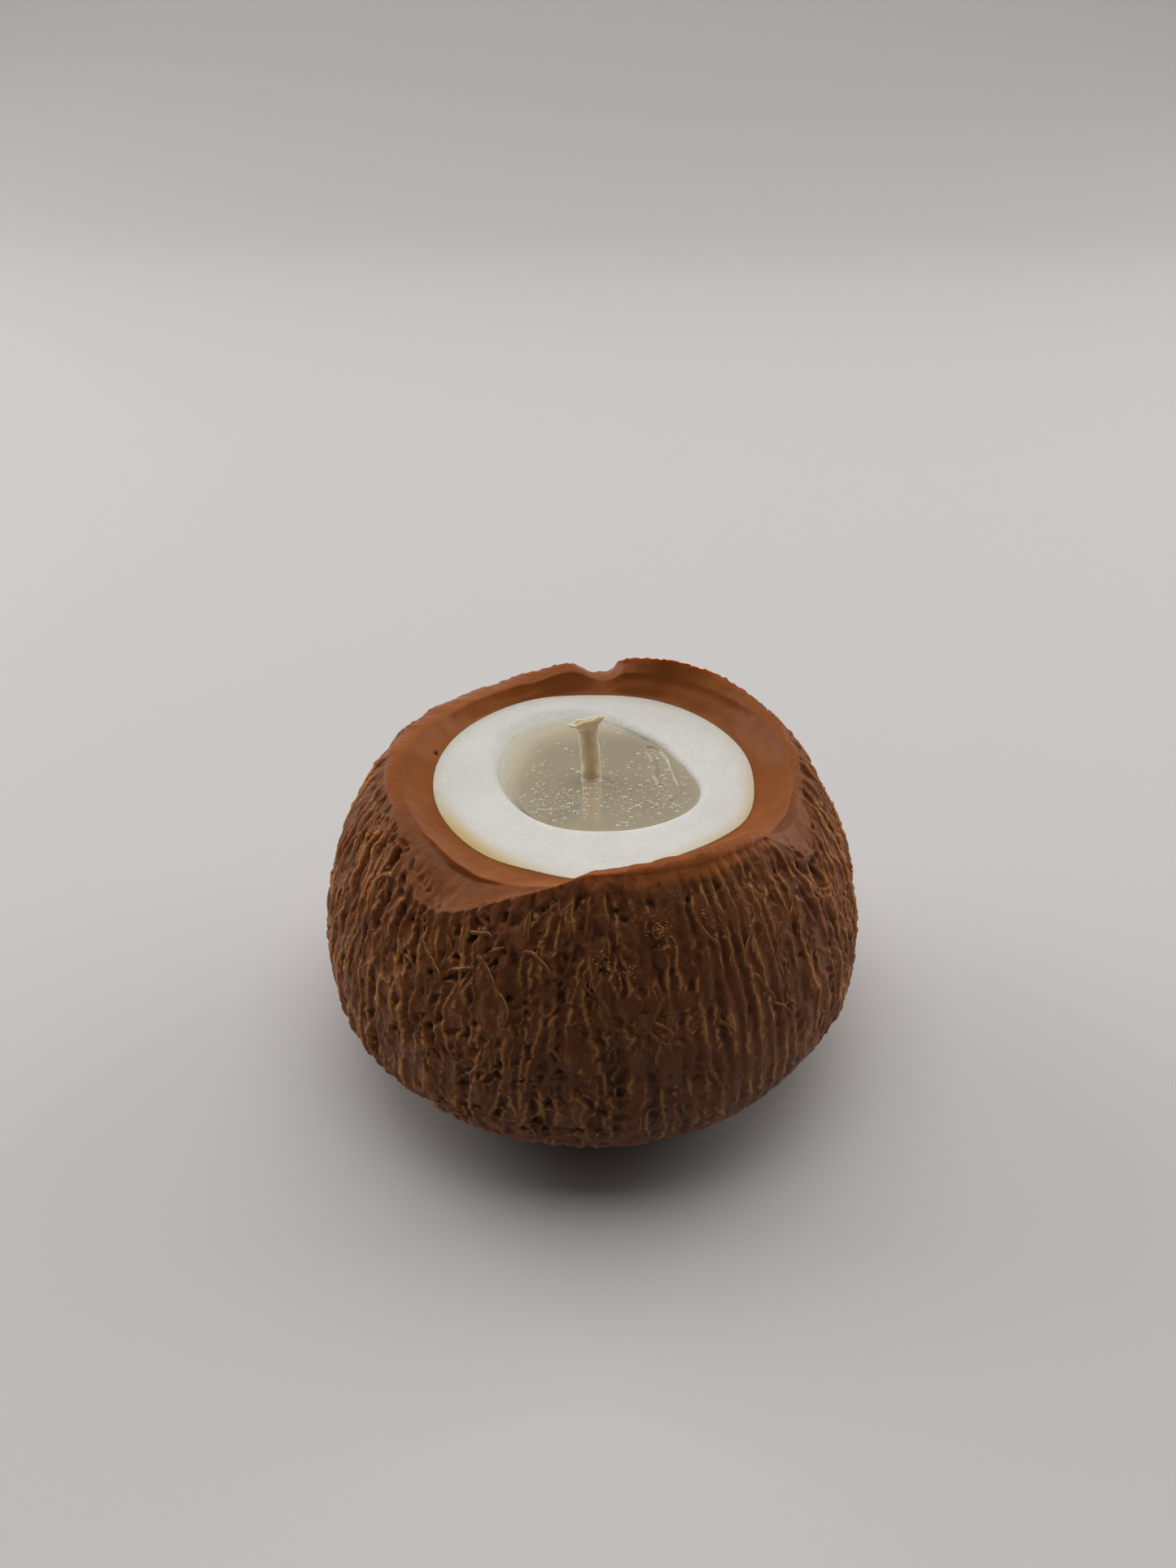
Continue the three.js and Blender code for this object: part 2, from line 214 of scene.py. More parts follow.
def noise(u, s, cell_u, cell_s, seed):
    """Smooth noise, about -1 to 1, closed round the husk. u and s are in mm."""
    count = max(1, round(AROUND / cell_u))
    x, y = u / AROUND * count, s / cell_s
    i, j = np.floor(x), np.floor(y)
    fx, fy = x - i, y - j

    def corner(di, dj):
        turn = 2 * math.pi * lattice((i + di) % count, j + dj, seed)
        return np.cos(turn) * (fx - di) + np.sin(turn) * (fy - dj)

    wx, wy = smooth(0, 1, fx), smooth(0, 1, fy)
    return 1.6 * mix(mix(corner(0, 0), corner(1, 0), wx), mix(corner(0, 1), corner(1, 1), wx), wy)


def net(u, s, cell_u, cell_s, seed):
    """Distance in mm to the nearest wall of a net of cells round the husk, and the cell's number."""
    count = round(AROUND / cell_u)
    width = AROUND / count
    squash = width / cell_s
    x, y = u / width, s / cell_s
    i, j = np.floor(x), np.floor(y)
    best = [[np.full(np.shape(u), 1e9) for _ in range(3)] for _ in range(2)]
    owner = np.zeros(np.shape(u))
    for di in (-1, 0, 1):
        for dj in (-1, 0, 1):
            ci, cj = (i + di) % count, j + dj
            dx = (i + di + 0.1 + 0.8 * lattice(ci, cj, seed) - x) * width
            dy = (cj + 0.1 + 0.8 * lattice(ci, cj, seed + 1) - y) * cell_s
            d = np.hypot(dx, dy * squash)
            (d1, x1, y1), (d2, x2, y2) = best
            first, second = d < d1, (d >= d1) & (d < d2)
            best[1] = [np.where(first, a, np.where(second, b, c))
                       for a, b, c in ((d1, d, d2), (x1, dx, x2), (y1, dy, y2))]
            best[0] = [np.where(first, b, a) for a, b in ((d1, d), (x1, dx), (y1, dy))]
            owner = np.where(first, lattice(ci, cj, seed + 2), owner)
    (d1, x1, y1), (d2, x2, y2) = best
    slope = np.hypot(x1 / d1 - x2 / d2, (y1 / d1 - y2 / d2) * squash ** 2) + 1e-6
    return (d2 - d1) / slope, owner


def pocks(u, s, cell_u, cell_s, seed, walls, share):
    """Pits in some of a net's cells: 0 on the walls and in plain cells, 1 in the middle of a pit."""
    wall, owner = net(u, s, cell_u, cell_s, seed)
    return smooth(*walls, wall) * smooth(*share, owner)


# ---- The husk's surface ----

def chip_zone(degrees):
    """1 where a chip has broken the rim down to a facet, 0 where the rim is whole."""
    left = smooth(-168, -150, degrees) * (1 - smooth(-97, -88, degrees))
    right = smooth(-40, -33, degrees) * (1 - smooth(-12, 12, degrees))
    return left + right


def wander(a, v):
    """How far the crests swing round, in radians."""
    fade = smooth(0, 0.1, v) * (1 - smooth(0.84, 0.98, v))
    return WANDER * fade * (0.6 * np.sin(11 * v + 3 * a) + 0.4 * np.sin(23 * v - 5 * a))


def up_husk(v):
    """Millimetres up the outside at share v of its height."""
    low = v / BELLY_SHARE * BELLY_ARC
    high = BELLY_ARC + (v - BELLY_SHARE) / (1 - BELLY_SHARE) * SHOULDER_ARC
    return np.where(v < BELLY_SHARE, low, high)


def ridges(a, v):
    """The sharp crests and their cross links, 0 on a crest and 1 in an open valley."""
    along = a / (2 * math.pi) * RIDGES
    index = np.floor(along)
    t = along - index

    def tone(ridge):
        ridge = ridge % RIDGES
        level = v * LINKS_PER_RIDGE + lattice(ridge, 3)
        place = np.floor(level)
        return mix(lattice(ridge, place), lattice(ridge, place + 1), smooth(0.2, 0.8, level - place))

    crest = CREST_SAG * np.where(t < 0.5, tone(index), tone(index + 1))
    linked = smooth(1 - LINK_SHARE - LINK_EDGE, 1 - LINK_SHARE + LINK_EDGE, tone(index))
    valley = mix(1, LINK_DEPTH, linked)
    return mix(crest, valley, smooth(0.02, 0.4, np.minimum(t, 1 - t)))


def rise(value, width, lean=1.0):
    """0 on a crest, where the value passes zero, with a sharp top, and 1 in the open valley. One side
    of the crest is "lean" times as gentle as the other."""
    return 1 - np.exp(-np.abs(value) / np.where(value > 0, width, width * lean))


def relief(a, v):
    """Depth in mm below the husk's highest crests."""
    u, s = a * CUP_RADIUS, up_husk(v)
    degrees = (np.degrees(a) + 180) % 360 - 180
    front = bump(degrees, *FRONT)
    flutes = bump(degrees, *FLUTES) * smooth(16, 34, s)
    calm = (1 - 0.15 * front) * (1 - 0.5 * flutes)
    low = 1 - smooth(10, 26, s)
    near_rim = bump(degrees, *SMOOTH_EDGE) * smooth(0.93, 0.985, v)
    plain = (1 - 0.6 * flutes) * (1 - 0.6 * near_rim)

    # The lines, scales and pits follow a place that is pushed about, so that none runs straight.
    bend = 1.1 * calm * noise(u, s, 10, 13, SEED) + 0.7 * calm * noise(u, s, 3.3, 3.4, SEED + 1)
    bend += 0.22 * noise(u, s, 1.3, 1.2, SEED + 12)
    lift = 1.6 * noise(u, s, 8, 9, SEED + 2) + 0.7 * noise(u, s, 3.0, 3.2, SEED + 11)
    uw, sw = u - CUP_RADIUS * wander(a, v) + bend, s + lift
    long_line = noise(uw, sw, 2.5, mix(10, 14, front), SEED + 4)
    short_line = noise(uw, sw, 2.2, 4.2, SEED + 14)
    fine_line = noise(uw, sw, 1.15, 1.7, SEED + 15)
    column = np.abs(np.sin(uw / AROUND * math.pi * SCALE_COLUMNS))
    wart = noise(uw, sw, 2.7, 2.9, SEED + 16)

    depth = RIDGE_DEPTH * (1 - 0.6 * front) * ridges(a, v) * (1 - near_rim)
    depth += mix(*LONG_LINES, front) * plain * rise(long_line, 0.15, 4.0)
    depth += SHORT_LINES * plain * rise(short_line, 0.14, 3.0)
    depth += FINE_LINES * plain * rise(fine_line, 0.16)
    depth += mix(*SCALES, front) * plain * column ** 0.8
    pocked = (0.33 + 0.16 * bump(degrees, -116, 36) + 0.1 * low) * (1 - 0.5 * flutes)
    depth += pocked * pocks(uw, sw, 1.9, 2.4, SEED + 7, (0.05, 0.7), (0.38, 0.85))
    pocked = FRONT_PITS * front * (1 - 0.5 * flutes)
    depth += pocked * pocks(uw, sw, 1.6, 1.9, SEED + 23, (0.03, 0.55), (0.2, 0.75))
    depth += low * WARTS * (1 - smooth(-0.1, 0.5, wart))
    faint = 0.75 + 0.4 * noise(u, s, 5, 9, SEED + 17)
    depth += FLUTE_DEPTH * faint * flutes * (1 + np.sin(uw * FLUTE_PITCH))
    depth += SWELL * noise(u, s, 9, 12, SEED + 9)
    depth += ROLL_PITS * near_rim * pocks(u, s, 1.9, 1.9, SEED + 18, (0.2, 0.8), (0.5, 0.9))
    depth += ROLL_LUMPS * near_rim * noise(u, s, 4.2, 5.5, SEED + 22)
    for at, z, size, deep in PITS:
        pit_a, pit_v = husk_place(at, z)
        off = np.hypot((a - pit_a) * CUP_RADIUS * 0.85, s - up_husk(pit_v)) / size
        depth += deep * np.exp(-off ** 3)

    edge_line = mix(0.965, 0.93, front) + 0.03 * noise(u, s, 5, 4, SEED + 20)
    to_edge = smooth(0, 1, (v - edge_line) / (1 - edge_line))
    fade = smooth(-0.02, 0.08, v) * mix(1, mix(0.35, 0.5, chip_zone(degrees)), to_edge)
    lump = to_edge * (1 - front) * (0.35 - 0.45 * noise(u, s, 6.5, 9, SEED + 21))
    full = FULLNESS * smooth(0, 8, s) * (1 - smooth(13, 26, s))
    return np.maximum(depth - TOP_LAYER, 0.02) * fade + np.maximum(lump, 0) - full


def husk_arcs(angle):
    """The outside's two arcs at this angle: the height of the widest ring, the lower arc's depth and
    the upper one's height, and how far the husk turns down the one and up the other."""
    widest = WIDEST_Z + LEAN * CUP_RADIUS * np.cos(angle)
    belly = BELLY_DEPTH + widest - WIDEST_Z
    degrees = np.degrees(np.arctan2(np.sin(angle), np.cos(angle)))
    shoulder = SHOULDER_HEIGHT + SHOULDER_RISE * bump(degrees, SHOULDER_RISE_AT, SHOULDER_RISE_WIDTH)
    low = np.arcsin(-widest / belly)
    high = np.arcsin((around(EDGE, degrees) - widest) / shoulder)
    return widest, belly, shoulder, low, high


def husk_point(a, v, depth):
    """A point of the outside in mm, "depth" below the smooth shape, square to it."""
    angle = a - wander(a, v)
    widest, belly, shoulder, low, high = husk_arcs(angle)
    turn = np.where(v < BELLY_SHARE, low * (1 - v / BELLY_SHARE),
                    high * (v - BELLY_SHARE) / (1 - BELLY_SHARE))
    tall = np.where(turn < 0, belly, shoulder)
    out, up = np.cos(turn) / CUP_RADIUS, np.sin(turn) / tall
    size = np.hypot(out, up)
    z = widest + np.sin(turn) * tall
    radius = CUP_RADIUS * np.cos(turn) - depth * out / size
    shift = -LEAN * (z - WIDEST_Z)
    return np.stack([radius * np.cos(angle) + shift, radius * np.sin(angle), z - depth * up / size], -1)


def husk_place(degrees, z):
    """The husk's own (a, v) under a point at this angle and height."""
    angle = np.radians(np.asarray(degrees, float) % 360)
    widest, belly, shoulder, low, high = husk_arcs(angle)
    below = BELLY_SHARE * (1 - np.arcsin(np.clip((z - widest) / belly, -1, 0)) / low)
    above = BELLY_SHARE + (1 - BELLY_SHARE) * np.arcsin(np.clip((z - widest) / shoulder, 0, 1)) / high
    v = np.clip(np.where(z < widest, below, above), 0.02, 0.99)
    a = angle
    for _ in range(3):
        a = angle + wander(a, v)
    return a % (2 * math.pi), v


# ---- Mesh helpers ----

def make_object(name, points, faces, material, values=None, normals=None, clipped=True):
    """A mesh object from points in mm, with named float values at its points. "normals" holds a
    point's normal where it is given, and zeros where the mesh works it out."""
    mesh = bpy.data.meshes.new(name)
    points = np.array(points, float)
    if clipped:
        points[:, :2] = np.clip(points[:, :2], BOX_LOW, BOX_HIGH)
    mesh.from_pydata((points * MM).tolist(), [], faces)
    mesh.polygons.foreach_set("use_smooth", [True] * len(mesh.polygons))
    for key, data in (values or {}).items():
        layer = mesh.attributes.new(key, "FLOAT", "POINT")
        layer.data.foreach_set("value", np.asarray(data, np.float32))
    mesh.materials.append(material)
    mesh.update()
    if normals is not None:
        mesh.normals_split_custom_set_from_vertices(normals.tolist())
    ob = bpy.data.objects.new(name, mesh)
    bpy.context.scene.collection.objects.link(ob)
    return ob


def loft(rings, hoop=False):
    """Points and faces of a closed body through rings: with a fan at each end, or for a hoop with the
    last ring joined to the first."""
    sides = len(rings[0])
    top, first = (len(rings) - 1) * sides, len(rings) * sides
    i = np.arange(sides)
    j = (i + 1) % sides
    faces = []
    for a in range(0, top, sides):
        faces += np.stack([a + i, a + j, a + sides + j, a + sides + i], -1).tolist()
    if hoop:
        return np.concatenate(rings), faces + np.stack([top + i, top + j, j, i], -1).tolist()
    for i in range(sides):
        j = (i + 1) % sides
        faces += [[j, i, first], [top + i, top + j, first + 1]]
    return np.concatenate([*rings, rings[0].mean(0)[None], rings[-1].mean(0)[None]]), faces


def fused(bodies):
    """Points and faces of several bodies as one."""
    points, faces, start = [], [], 0
    for its_points, its_faces in bodies:
        points.append(its_points)
        faces += [[k + start for k in face] for face in its_faces]
        start += len(its_points)
    return np.concatenate(points), faces


class Rings:
    """Rings of points, with the named values that a material reads at them."""

    def __init__(self, *keys):
        self.rings, self.normals = [], []
        self.values = {key: [] for key in keys}

    def add(self, ring, normal=None, **values):
        self.rings.append(ring)
        self.normals.append(np.zeros_like(ring) if normal is None else normal)
        for key, rows in self.values.items():
            rows.append(np.broadcast_to(values.get(key, 0.0), len(ring)))

    def body(self, name, material, hoop=False):
        points, faces = loft(self.rings, hoop)
        spare = 0 if hoop else 1
        values = {key: np.concatenate([*rows, rows[0][:spare], rows[-1][-1:][:spare]])
                  for key, rows in self.values.items()}
        normals = np.concatenate([*self.normals, np.zeros((2 * spare, 3))])
        return make_object(name, points, faces, material, values, normals if normals.any() else None)


def polar(radius, degrees, z, centre=(0, 0)):
    a = np.radians(degrees)
    z = np.broadcast_to(z, np.shape(a))
    return np.stack([centre[0] + radius * np.cos(a), centre[1] + radius * np.sin(a), z], -1)


def bowl_ring(table, degrees, z, floor_z, floor_share, t, inset=0.0, centre=(0, 0)):
    """A ring of a bowl, from its mouth (t = 0) to the edge of its flat floor (t = 1)."""
    turn = t * math.pi / 2
    across = mix(1, floor_share, 1 - math.cos(turn))
    down = math.sin(turn) ** BOWL_POWER
    radius = around(table, degrees) * across - inset * math.cos(turn)
    return polar(radius, degrees, mix(z, floor_z, down) + inset * math.sin(turn), centre)


def cavity_ring(degrees, t, inset=0.0):
    return bowl_ring(WHITE_EDGE, degrees, WHITE_Z, CAVITY_FLOOR_Z, CAVITY_FLOOR_SHARE, t, inset)


def hollow_ring(degrees, t, inset=0.0):
    level = gel_level(degrees)
    return bowl_ring(GEL_EDGE, degrees, level, HOLLOW_FLOOR_Z, HOLLOW_FLOOR_SHARE, t, inset, GEL_CENTRE)


# ---- Materials ----

class Nodes:
    """Builds one node material: each call makes a node and gives back what it puts out."""

    def __init__(self, name):
        self.material = bpy.data.materials.new(name)
        self.material.use_nodes = True
        self.tree = self.material.node_tree
        self.tree.nodes.clear()
        self.out = self.tree.nodes.new("ShaderNodeOutputMaterial")

    def put(self, socket, value):
        """Links a node to a socket, or sets the socket's own value. A colour has three numbers."""
        if isinstance(value, bpy.types.Node):
            value = value.outputs[0]
        if isinstance(value, bpy.types.NodeSocket):
            self.tree.links.new(value, socket)
        else:
            socket.default_value = (*value, 1.0) if socket.type == "RGBA" else value

    def node(self, kind, inputs=None, **settings):
        made = self.tree.nodes.new("ShaderNode" + kind)
        for key, value in settings.items():
            setattr(made, key, value)
        for key, value in (inputs or {}).items():
            self.put(made.inputs[key], value)
        return made

    def surface(self, shader):
        self.put(self.out.inputs["Surface"], shader)
        return self.material

    def math(self, operation, *values):
        made = self.node("Math", operation=operation)
        for socket, value in zip(made.inputs, values):
            self.put(socket, value)
        return made.outputs[0]

    def plus(self, a, b):
        return self.math("ADD", a, b)

    def minus(self, a, b):
        return self.math("SUBTRACT", a, b)

    def times(self, a, b):
        return self.math("MULTIPLY", a, b)

    def swing(self, grain, by):
        """A grain taken as a swing to both sides of zero."""
        return self.times(self.minus(grain, 0.5), by)

    def span(self, value, low, high, to_low=0.0, to_high=1.0):
        """Maps low..high smoothly on to another range."""
        ends = {"Value": value, "From Min": low, "From Max": high, "To Min": to_low, "To Max": to_high}
        return self.node("MapRange", ends, interpolation_type="SMOOTHSTEP").outputs[0]

    def blend(self, factor, a, b, mode="MIX"):
        made = self.node("Mix", data_type="RGBA", blend_type=mode)
        for index, value in ((0, factor), (6, a), (7, b)):
            self.put(made.inputs[index], value)
        return made.outputs[2]

    def value(self, name):
        return self.node("Attribute", attribute_name=name).outputs["Fac"]

    def place(self, scale=(1, 1, 1)):
        coordinates = self.node("TexCoord").outputs["Object"]
        return self.node("Mapping", {"Vector": coordinates, "Scale": scale}).outputs[0]

    def grain(self, vector, scale, detail=3.0, roughness=0.55, distortion=0.0):
        """Noise with "scale" features to a metre, about 0.5 on average."""
        return self.node("TexNoise", {"Vector": vector, "Scale": scale, "Detail": detail,
                                      "Roughness": roughness, "Distortion": distortion}).outputs["Fac"]

    def bumped(self, height, distance, strength=1.0, normal=None):
        inputs = {"Height": height, "Distance": distance, "Strength": strength}
        if normal is not None:
            inputs["Normal"] = normal
        return self.node("Bump", inputs).outputs[0]


HUSK_DARK = (0.040, 0.0135, 0.0062)
HUSK_MID = (0.134, 0.047, 0.0190)
HUSK_LIGHT = (0.27, 0.108, 0.036)
HUSK_OCHRE = (0.42, 0.205, 0.066)
SIDE_PAINTED_LIGHT = (1.42, 1.27, 0.98)
RIM_COLOUR = (0.228, 0.067, 0.0155)
RIM_LIGHT = (0.286, 0.093, 0.0230)
FACET_COLOUR = (0.155, 0.049, 0.0155)
FACET_LIGHT = (0.200, 0.068, 0.0225)
ROLL_PAINTED_LIGHT = (0.35, 0.110, 0.032)
PIT_PAINTED_SHADE = (0.07, 0.020, 0.007)


def brown_wax():
    n = Nodes("brown_wax")
    here = n.place()
    height, rim, crest, facet = (n.value(key) for key in ("height", "rim", "crest", "facet"))
    cloud = n.grain(here, 90, 4)
    fine = n.grain(n.place((1, 1, 0.35)), 900, 4, 0.6)
    specks = n.grain(here, 2600, 2, 0.6)
    dust = n.grain(here, 1100, 3, 0.6)
    husk = n.minus(1.0, rim)
    # Fine wrinkles run where a stretched noise passes its middle value.
    wrinkle = n.math("ABSOLUTE", n.minus(n.grain(n.place((1, 1, 0.3)), 520, 2, 0.5, 0.4), 0.5))
    line = n.span(wrinkle, 0.03, 0.0)

    # Painted shade: the colour runs from dark to light with how high a point stands, so the hollows are
    # painted darker; the noise adds random tone.
    tone = n.plus(n.plus(height, n.swing(fine, 0.35)), n.swing(cloud, 0.5))
    colour = n.blend(n.span(tone, 0.0, 0.6), HUSK_DARK, HUSK_MID)
    colour = n.blend(n.span(tone, 0.6, 1.15), colour, HUSK_LIGHT)
    # Gold dust and a painted highlight: ochre on the crests and, in patches, along the fine wrinkles.
    colour = n.blend(n.times(n.span(crest, 0.2, 0.9), 0.62), colour, HUSK_OCHRE)
    patchy = n.times(n.times(line, husk), n.span(cloud, 0.42, 0.6, 0.05, 0.3))
    colour = n.blend(patchy, colour, HUSK_OCHRE)
    # Painted light: the sides are multiplied to a lighter, warmer colour.
    colour = n.blend(n.value("side"), colour, n.blend(1.0, colour, SIDE_PAINTED_LIGHT, "MULTIPLY"))

    warm = n.blend(n.span(cloud, 0.35, 0.68), RIM_COLOUR, RIM_LIGHT)
    # Painted light: where lit, the front roll's top and the back of the inner wall are painted lighter.
    warm = n.blend(n.value("lit"), warm, ROLL_PAINTED_LIGHT)
    dusty = n.blend(n.span(dust, 0.35, 0.65), FACET_COLOUR, FACET_LIGHT)
    warm = n.blend(n.times(facet, 0.9), warm, dusty)
    # Painted shade: the rim goes darker where height is low: in its pits, a chip's crease, the chamfer's
    # groove and the blister.
    warm = n.blend(n.span(height, 0.7, 0.2), warm, PIT_PAINTED_SHADE)
    colour = n.blend(n.span(n.plus(rim, n.swing(cloud, 0.6)), 0.1, 0.8), colour, warm)
    # Painted glints: small ochre specks over the husk.
    glint = n.times(n.span(specks, 0.70, 0.76), n.times(husk, 0.6))
    colour = n.blend(glint, colour, HUSK_OCHRE)

    rough = n.span(n.plus(n.grain(here, 260, 3), n.times(rim, 0.12)), 0.3, 0.75, 0.52, 0.36)
    skin = n.bumped(line, 0.0002, n.span(rim, 0.0, 0.8, 0.5, 0.0))
    skin = n.bumped(fine, 0.0001, n.span(rim, 0.0, 0.5, 0.5, 0.0), skin)
    skin = n.bumped(dust, 0.0001, n.span(rim, 0.3, 0.9, 0.0, 0.5), skin)
    skin = n.bumped(n.grain(here, 420, 3, 0.6), 0.0003, n.span(rim, 0.0, 0.8, 0.35, 0.2), skin)
    soft = n.times(n.span(rim, 0.1, 0.9, 0.12, 0.6), n.minus(1.0, n.value("seam")))
    return n.surface(n.node("BsdfPrincipled", {
        "Base Color": colour, "Roughness": rough, "Normal": skin, "IOR": 1.44,
        "Specular IOR Level": 0.2, "Specular Tint": (1.0, 0.72, 0.52), "Subsurface Weight": soft,
        "Subsurface Radius": (1.0, 0.35, 0.12), "Subsurface Scale": 0.0022,
    }))


def fibre_wax():
    n = Nodes("husk_fibre_wax")
    grain = n.grain(n.place((1, 1, 0.4)), 1100, 3)
    pale = n.value("pale")
    colour = n.blend(n.span(grain, 0.3, 0.7), (0.115, 0.040, 0.0135), (0.19, 0.072, 0.024))
    # Painted highlight: each string's flanks are painted a lighter ochre.
    colour = n.blend(n.span(n.value("flank"), 0.6, 1.0, 0.0, 0.9), colour, (0.60, 0.32, 0.125))
    colour = n.blend(pale, colour, (0.60, 0.29, 0.085))
    rough = n.minus(n.span(grain, 0.3, 0.7, 0.34, 0.5), n.times(pale, 0.22))
    return n.surface(n.node("BsdfPrincipled", {
        "Base Color": colour, "Roughness": rough, "Normal": n.bumped(grain, 0.00012, 0.7),
        "Specular IOR Level": 0.3, "Specular Tint": (1.0, 0.75, 0.55), "Subsurface Weight": 0.12,
        "Subsurface Radius": (1.0, 0.4, 0.15), "Subsurface Scale": 0.001,
    }))


def white_wax():
    n = Nodes("white_wax")
    here = n.place()
    stain, deep = n.value("stain"), n.value("deep")
    cloud = n.grain(here, 110, 4)
    grain = n.grain(here, 1500, 3, 0.65)
    frost = n.span(n.grain(here, 2300, 2, 0.6), 0.5, 0.75, 0.0, 0.35)
    colour = n.blend(n.span(cloud, 0.3, 0.7), (0.64, 0.63, 0.595), (0.69, 0.685, 0.66))
    colour = n.blend(frost, colour, (0.86, 0.85, 0.82))
    mark = n.plus(stain, n.swing(cloud, 0.5))
    colour = n.blend(n.span(mark, 0.15, 1.0, 0.0, 0.95), colour, (0.52, 0.38, 0.13))
    # Painted shade under the gel: the wax is painted darker there, and paler again further down.
    colour = n.blend(n.span(deep, 0.0, 0.3), colour, (0.42, 0.405, 0.36))
    colour = n.blend(n.span(deep, 0.25, 0.95), colour, (0.435, 0.39, 0.29))
    colour = n.blend(n.span(deep, 1.0, 2.0), colour, (0.60, 0.545, 0.43))
    return n.surface(n.node("BsdfPrincipled", {
        "Base Color": colour, "Roughness": n.span(grain, 0.35, 0.65, 0.36, 0.58),
        "Normal": n.bumped(grain, 0.0003, 0.9), "IOR": 1.44, "Subsurface Weight": 0.5,
        "Subsurface Radius": (1.0, 0.8, 0.55), "Subsurface Scale": 0.0015,
    }))


def clear_gel():
    n = Nodes("gel_wax")
    ripple = n.grain(n.place(), 160, 3)
    haze = n.value("haze")
    glass = n.node("BsdfPrincipled", {
        "Base Color": n.blend(haze, (0.95, 0.935, 0.88), (0.63, 0.565, 0.425)), "IOR": 1.45,
        "Roughness": n.span(ripple, 0.3, 0.7, 0.02, 0.07), "Normal": n.bumped(ripple, 0.0003, 0.35),
        "Transmission Weight": n.span(haze, 0.0, 1.0, 0.95, 0.56),
    })
    clear = n.node("BsdfTransparent", {"Color": (0.97, 0.97, 0.94)})
    shadow = n.node("LightPath").outputs["Is Shadow Ray"]
    tint = n.node("VolumeAbsorption", {"Color": (0.70, 0.61, 0.43), "Density": 10.0})
    n.put(n.out.inputs["Volume"], tint)
    return n.surface(n.node("MixShader", {0: shadow, 1: glass, 2: clear}))


def bubble_painted_reflection():
    """A bubble's pale outline, a painted reflection: clear where it is seen square on, painted bright
    towards its edge.
    """
    n = Nodes("gel_bubble")
    speck = n.grain(n.place(), 900, 2)
    skin = n.node("BsdfPrincipled", {
        "Base Color": n.blend(speck, (0.90, 0.88, 0.80), (0.97, 0.96, 0.92)),
        "Roughness": n.span(speck, 0.3, 0.7, 0.1, 0.25),
    })
    clear = n.node("BsdfTransparent", {"Color": (0.96, 0.95, 0.92)})
    edge = n.span(n.node("LayerWeight", {"Blend": 0.5}).outputs["Facing"], 0.12, 0.5, 0.0, 0.95)
    return n.surface(n.node("MixShader", {0: edge, 1: clear, 2: skin}))


def waxed_cotton():
    n = Nodes("wick")
    fine = n.grain(n.place((1, 1, 0.12)), 1700, 3)
    colour = n.blend(n.span(fine, 0.3, 0.7), (0.98, 0.85, 0.58), (0.98, 0.90, 0.70))
    colour = n.blend(n.value("core"), colour, (0.82, 0.60, 0.29))
    colour = n.blend(n.times(n.value("frayed"), 0.8), colour, (0.72, 0.60, 0.46))
    return n.surface(n.node("BsdfPrincipled", {
        "Base Color": colour, "Roughness": n.span(fine, 0.3, 0.7, 0.35, 0.6),
        "Normal": n.bumped(fine, 0.00015, 0.5), "Subsurface Weight": 0.4,
        "Subsurface Radius": (1.0, 0.75, 0.45), "Subsurface Scale": 0.0008,
    }))


def brushed_steel():
    n = Nodes("wick_tab_steel")
    brushed = n.grain(n.place((1, 8, 1)), 700, 3)
    return n.surface(n.node("BsdfPrincipled", {
        "Base Color": n.blend(brushed, (0.42, 0.37, 0.27), (0.48, 0.43, 0.32)), "Metallic": 0.25,
        "Roughness": n.span(brushed, 0.3, 0.7, 0.28, 0.5), "Normal": n.bumped(brushed, 0.00005, 0.5),
    }))


def studio_paper():
    n = Nodes("studio_paper")
    fibre = n.grain(n.place(), 1400, 3)
    return n.surface(n.node("BsdfPrincipled", {
        "Base Color": n.blend(fibre, (0.56, 0.545, 0.54), (0.59, 0.575, 0.57)),
        "Roughness": n.span(fibre, 0.3, 0.7, 0.6, 0.8), "Normal": n.bumped(fibre, 0.0001, 0.1),
    }))


# ---- The cup ----

# Shares of the rim's width, from the husk's edge to the lip, at which it has a ring of points.
RIM_SHARES = (0.03, 0.06, 0.1, 0.14, 0.18, 0.22, 0.26, 0.3, 0.34, 0.38, 0.43, 0.48, 0.54, 0.61, 0.68, 0.75,
              0.82, 0.87, 0.9, 0.93, 0.96, 0.98, 1.0)
CREASE_AT = 0.92  # share of the rim's width from the husk's edge to a chip's crease
CREASE_DEPTH = 0.15
FACET_RISE = 0.72  # share of a chip's climb that is over at the crease
WALL_POWER = 1.7  # above 1, the inner wall climbs most near the lip
CHAMFER = (26, 36, 76, 83)  # angles at the back right where the rim slopes in as a flat chamfer
CHAMFER_GROOVE = 0.35
# Where the husk creeps over a rough rim, as (angle, width to each side, share of the rim's width).
HUSK_OVER = [(-138, 17, 0.36), (-26, 14, 0.12), (-114, 14, 0.1), (168, 62, 0.12)]
BLISTER = (162, 0.3, 0.75)  # a burst bubble in the inner wall: angle, share of the wall, depth


def husk_shares():
    """Shares of the outside's height, evenly spaced along its arc."""
    s = np.linspace(0, BELLY_ARC + SHOULDER_ARC, LOWER_ROWS + MIDDLE_ROWS + UPPER_ROWS)
    low = s / BELLY_ARC * BELLY_SHARE
    high = BELLY_SHARE + (s - BELLY_ARC) / SHOULDER_ARC * (1 - BELLY_SHARE)
    return np.where(s < BELLY_ARC, low, high)


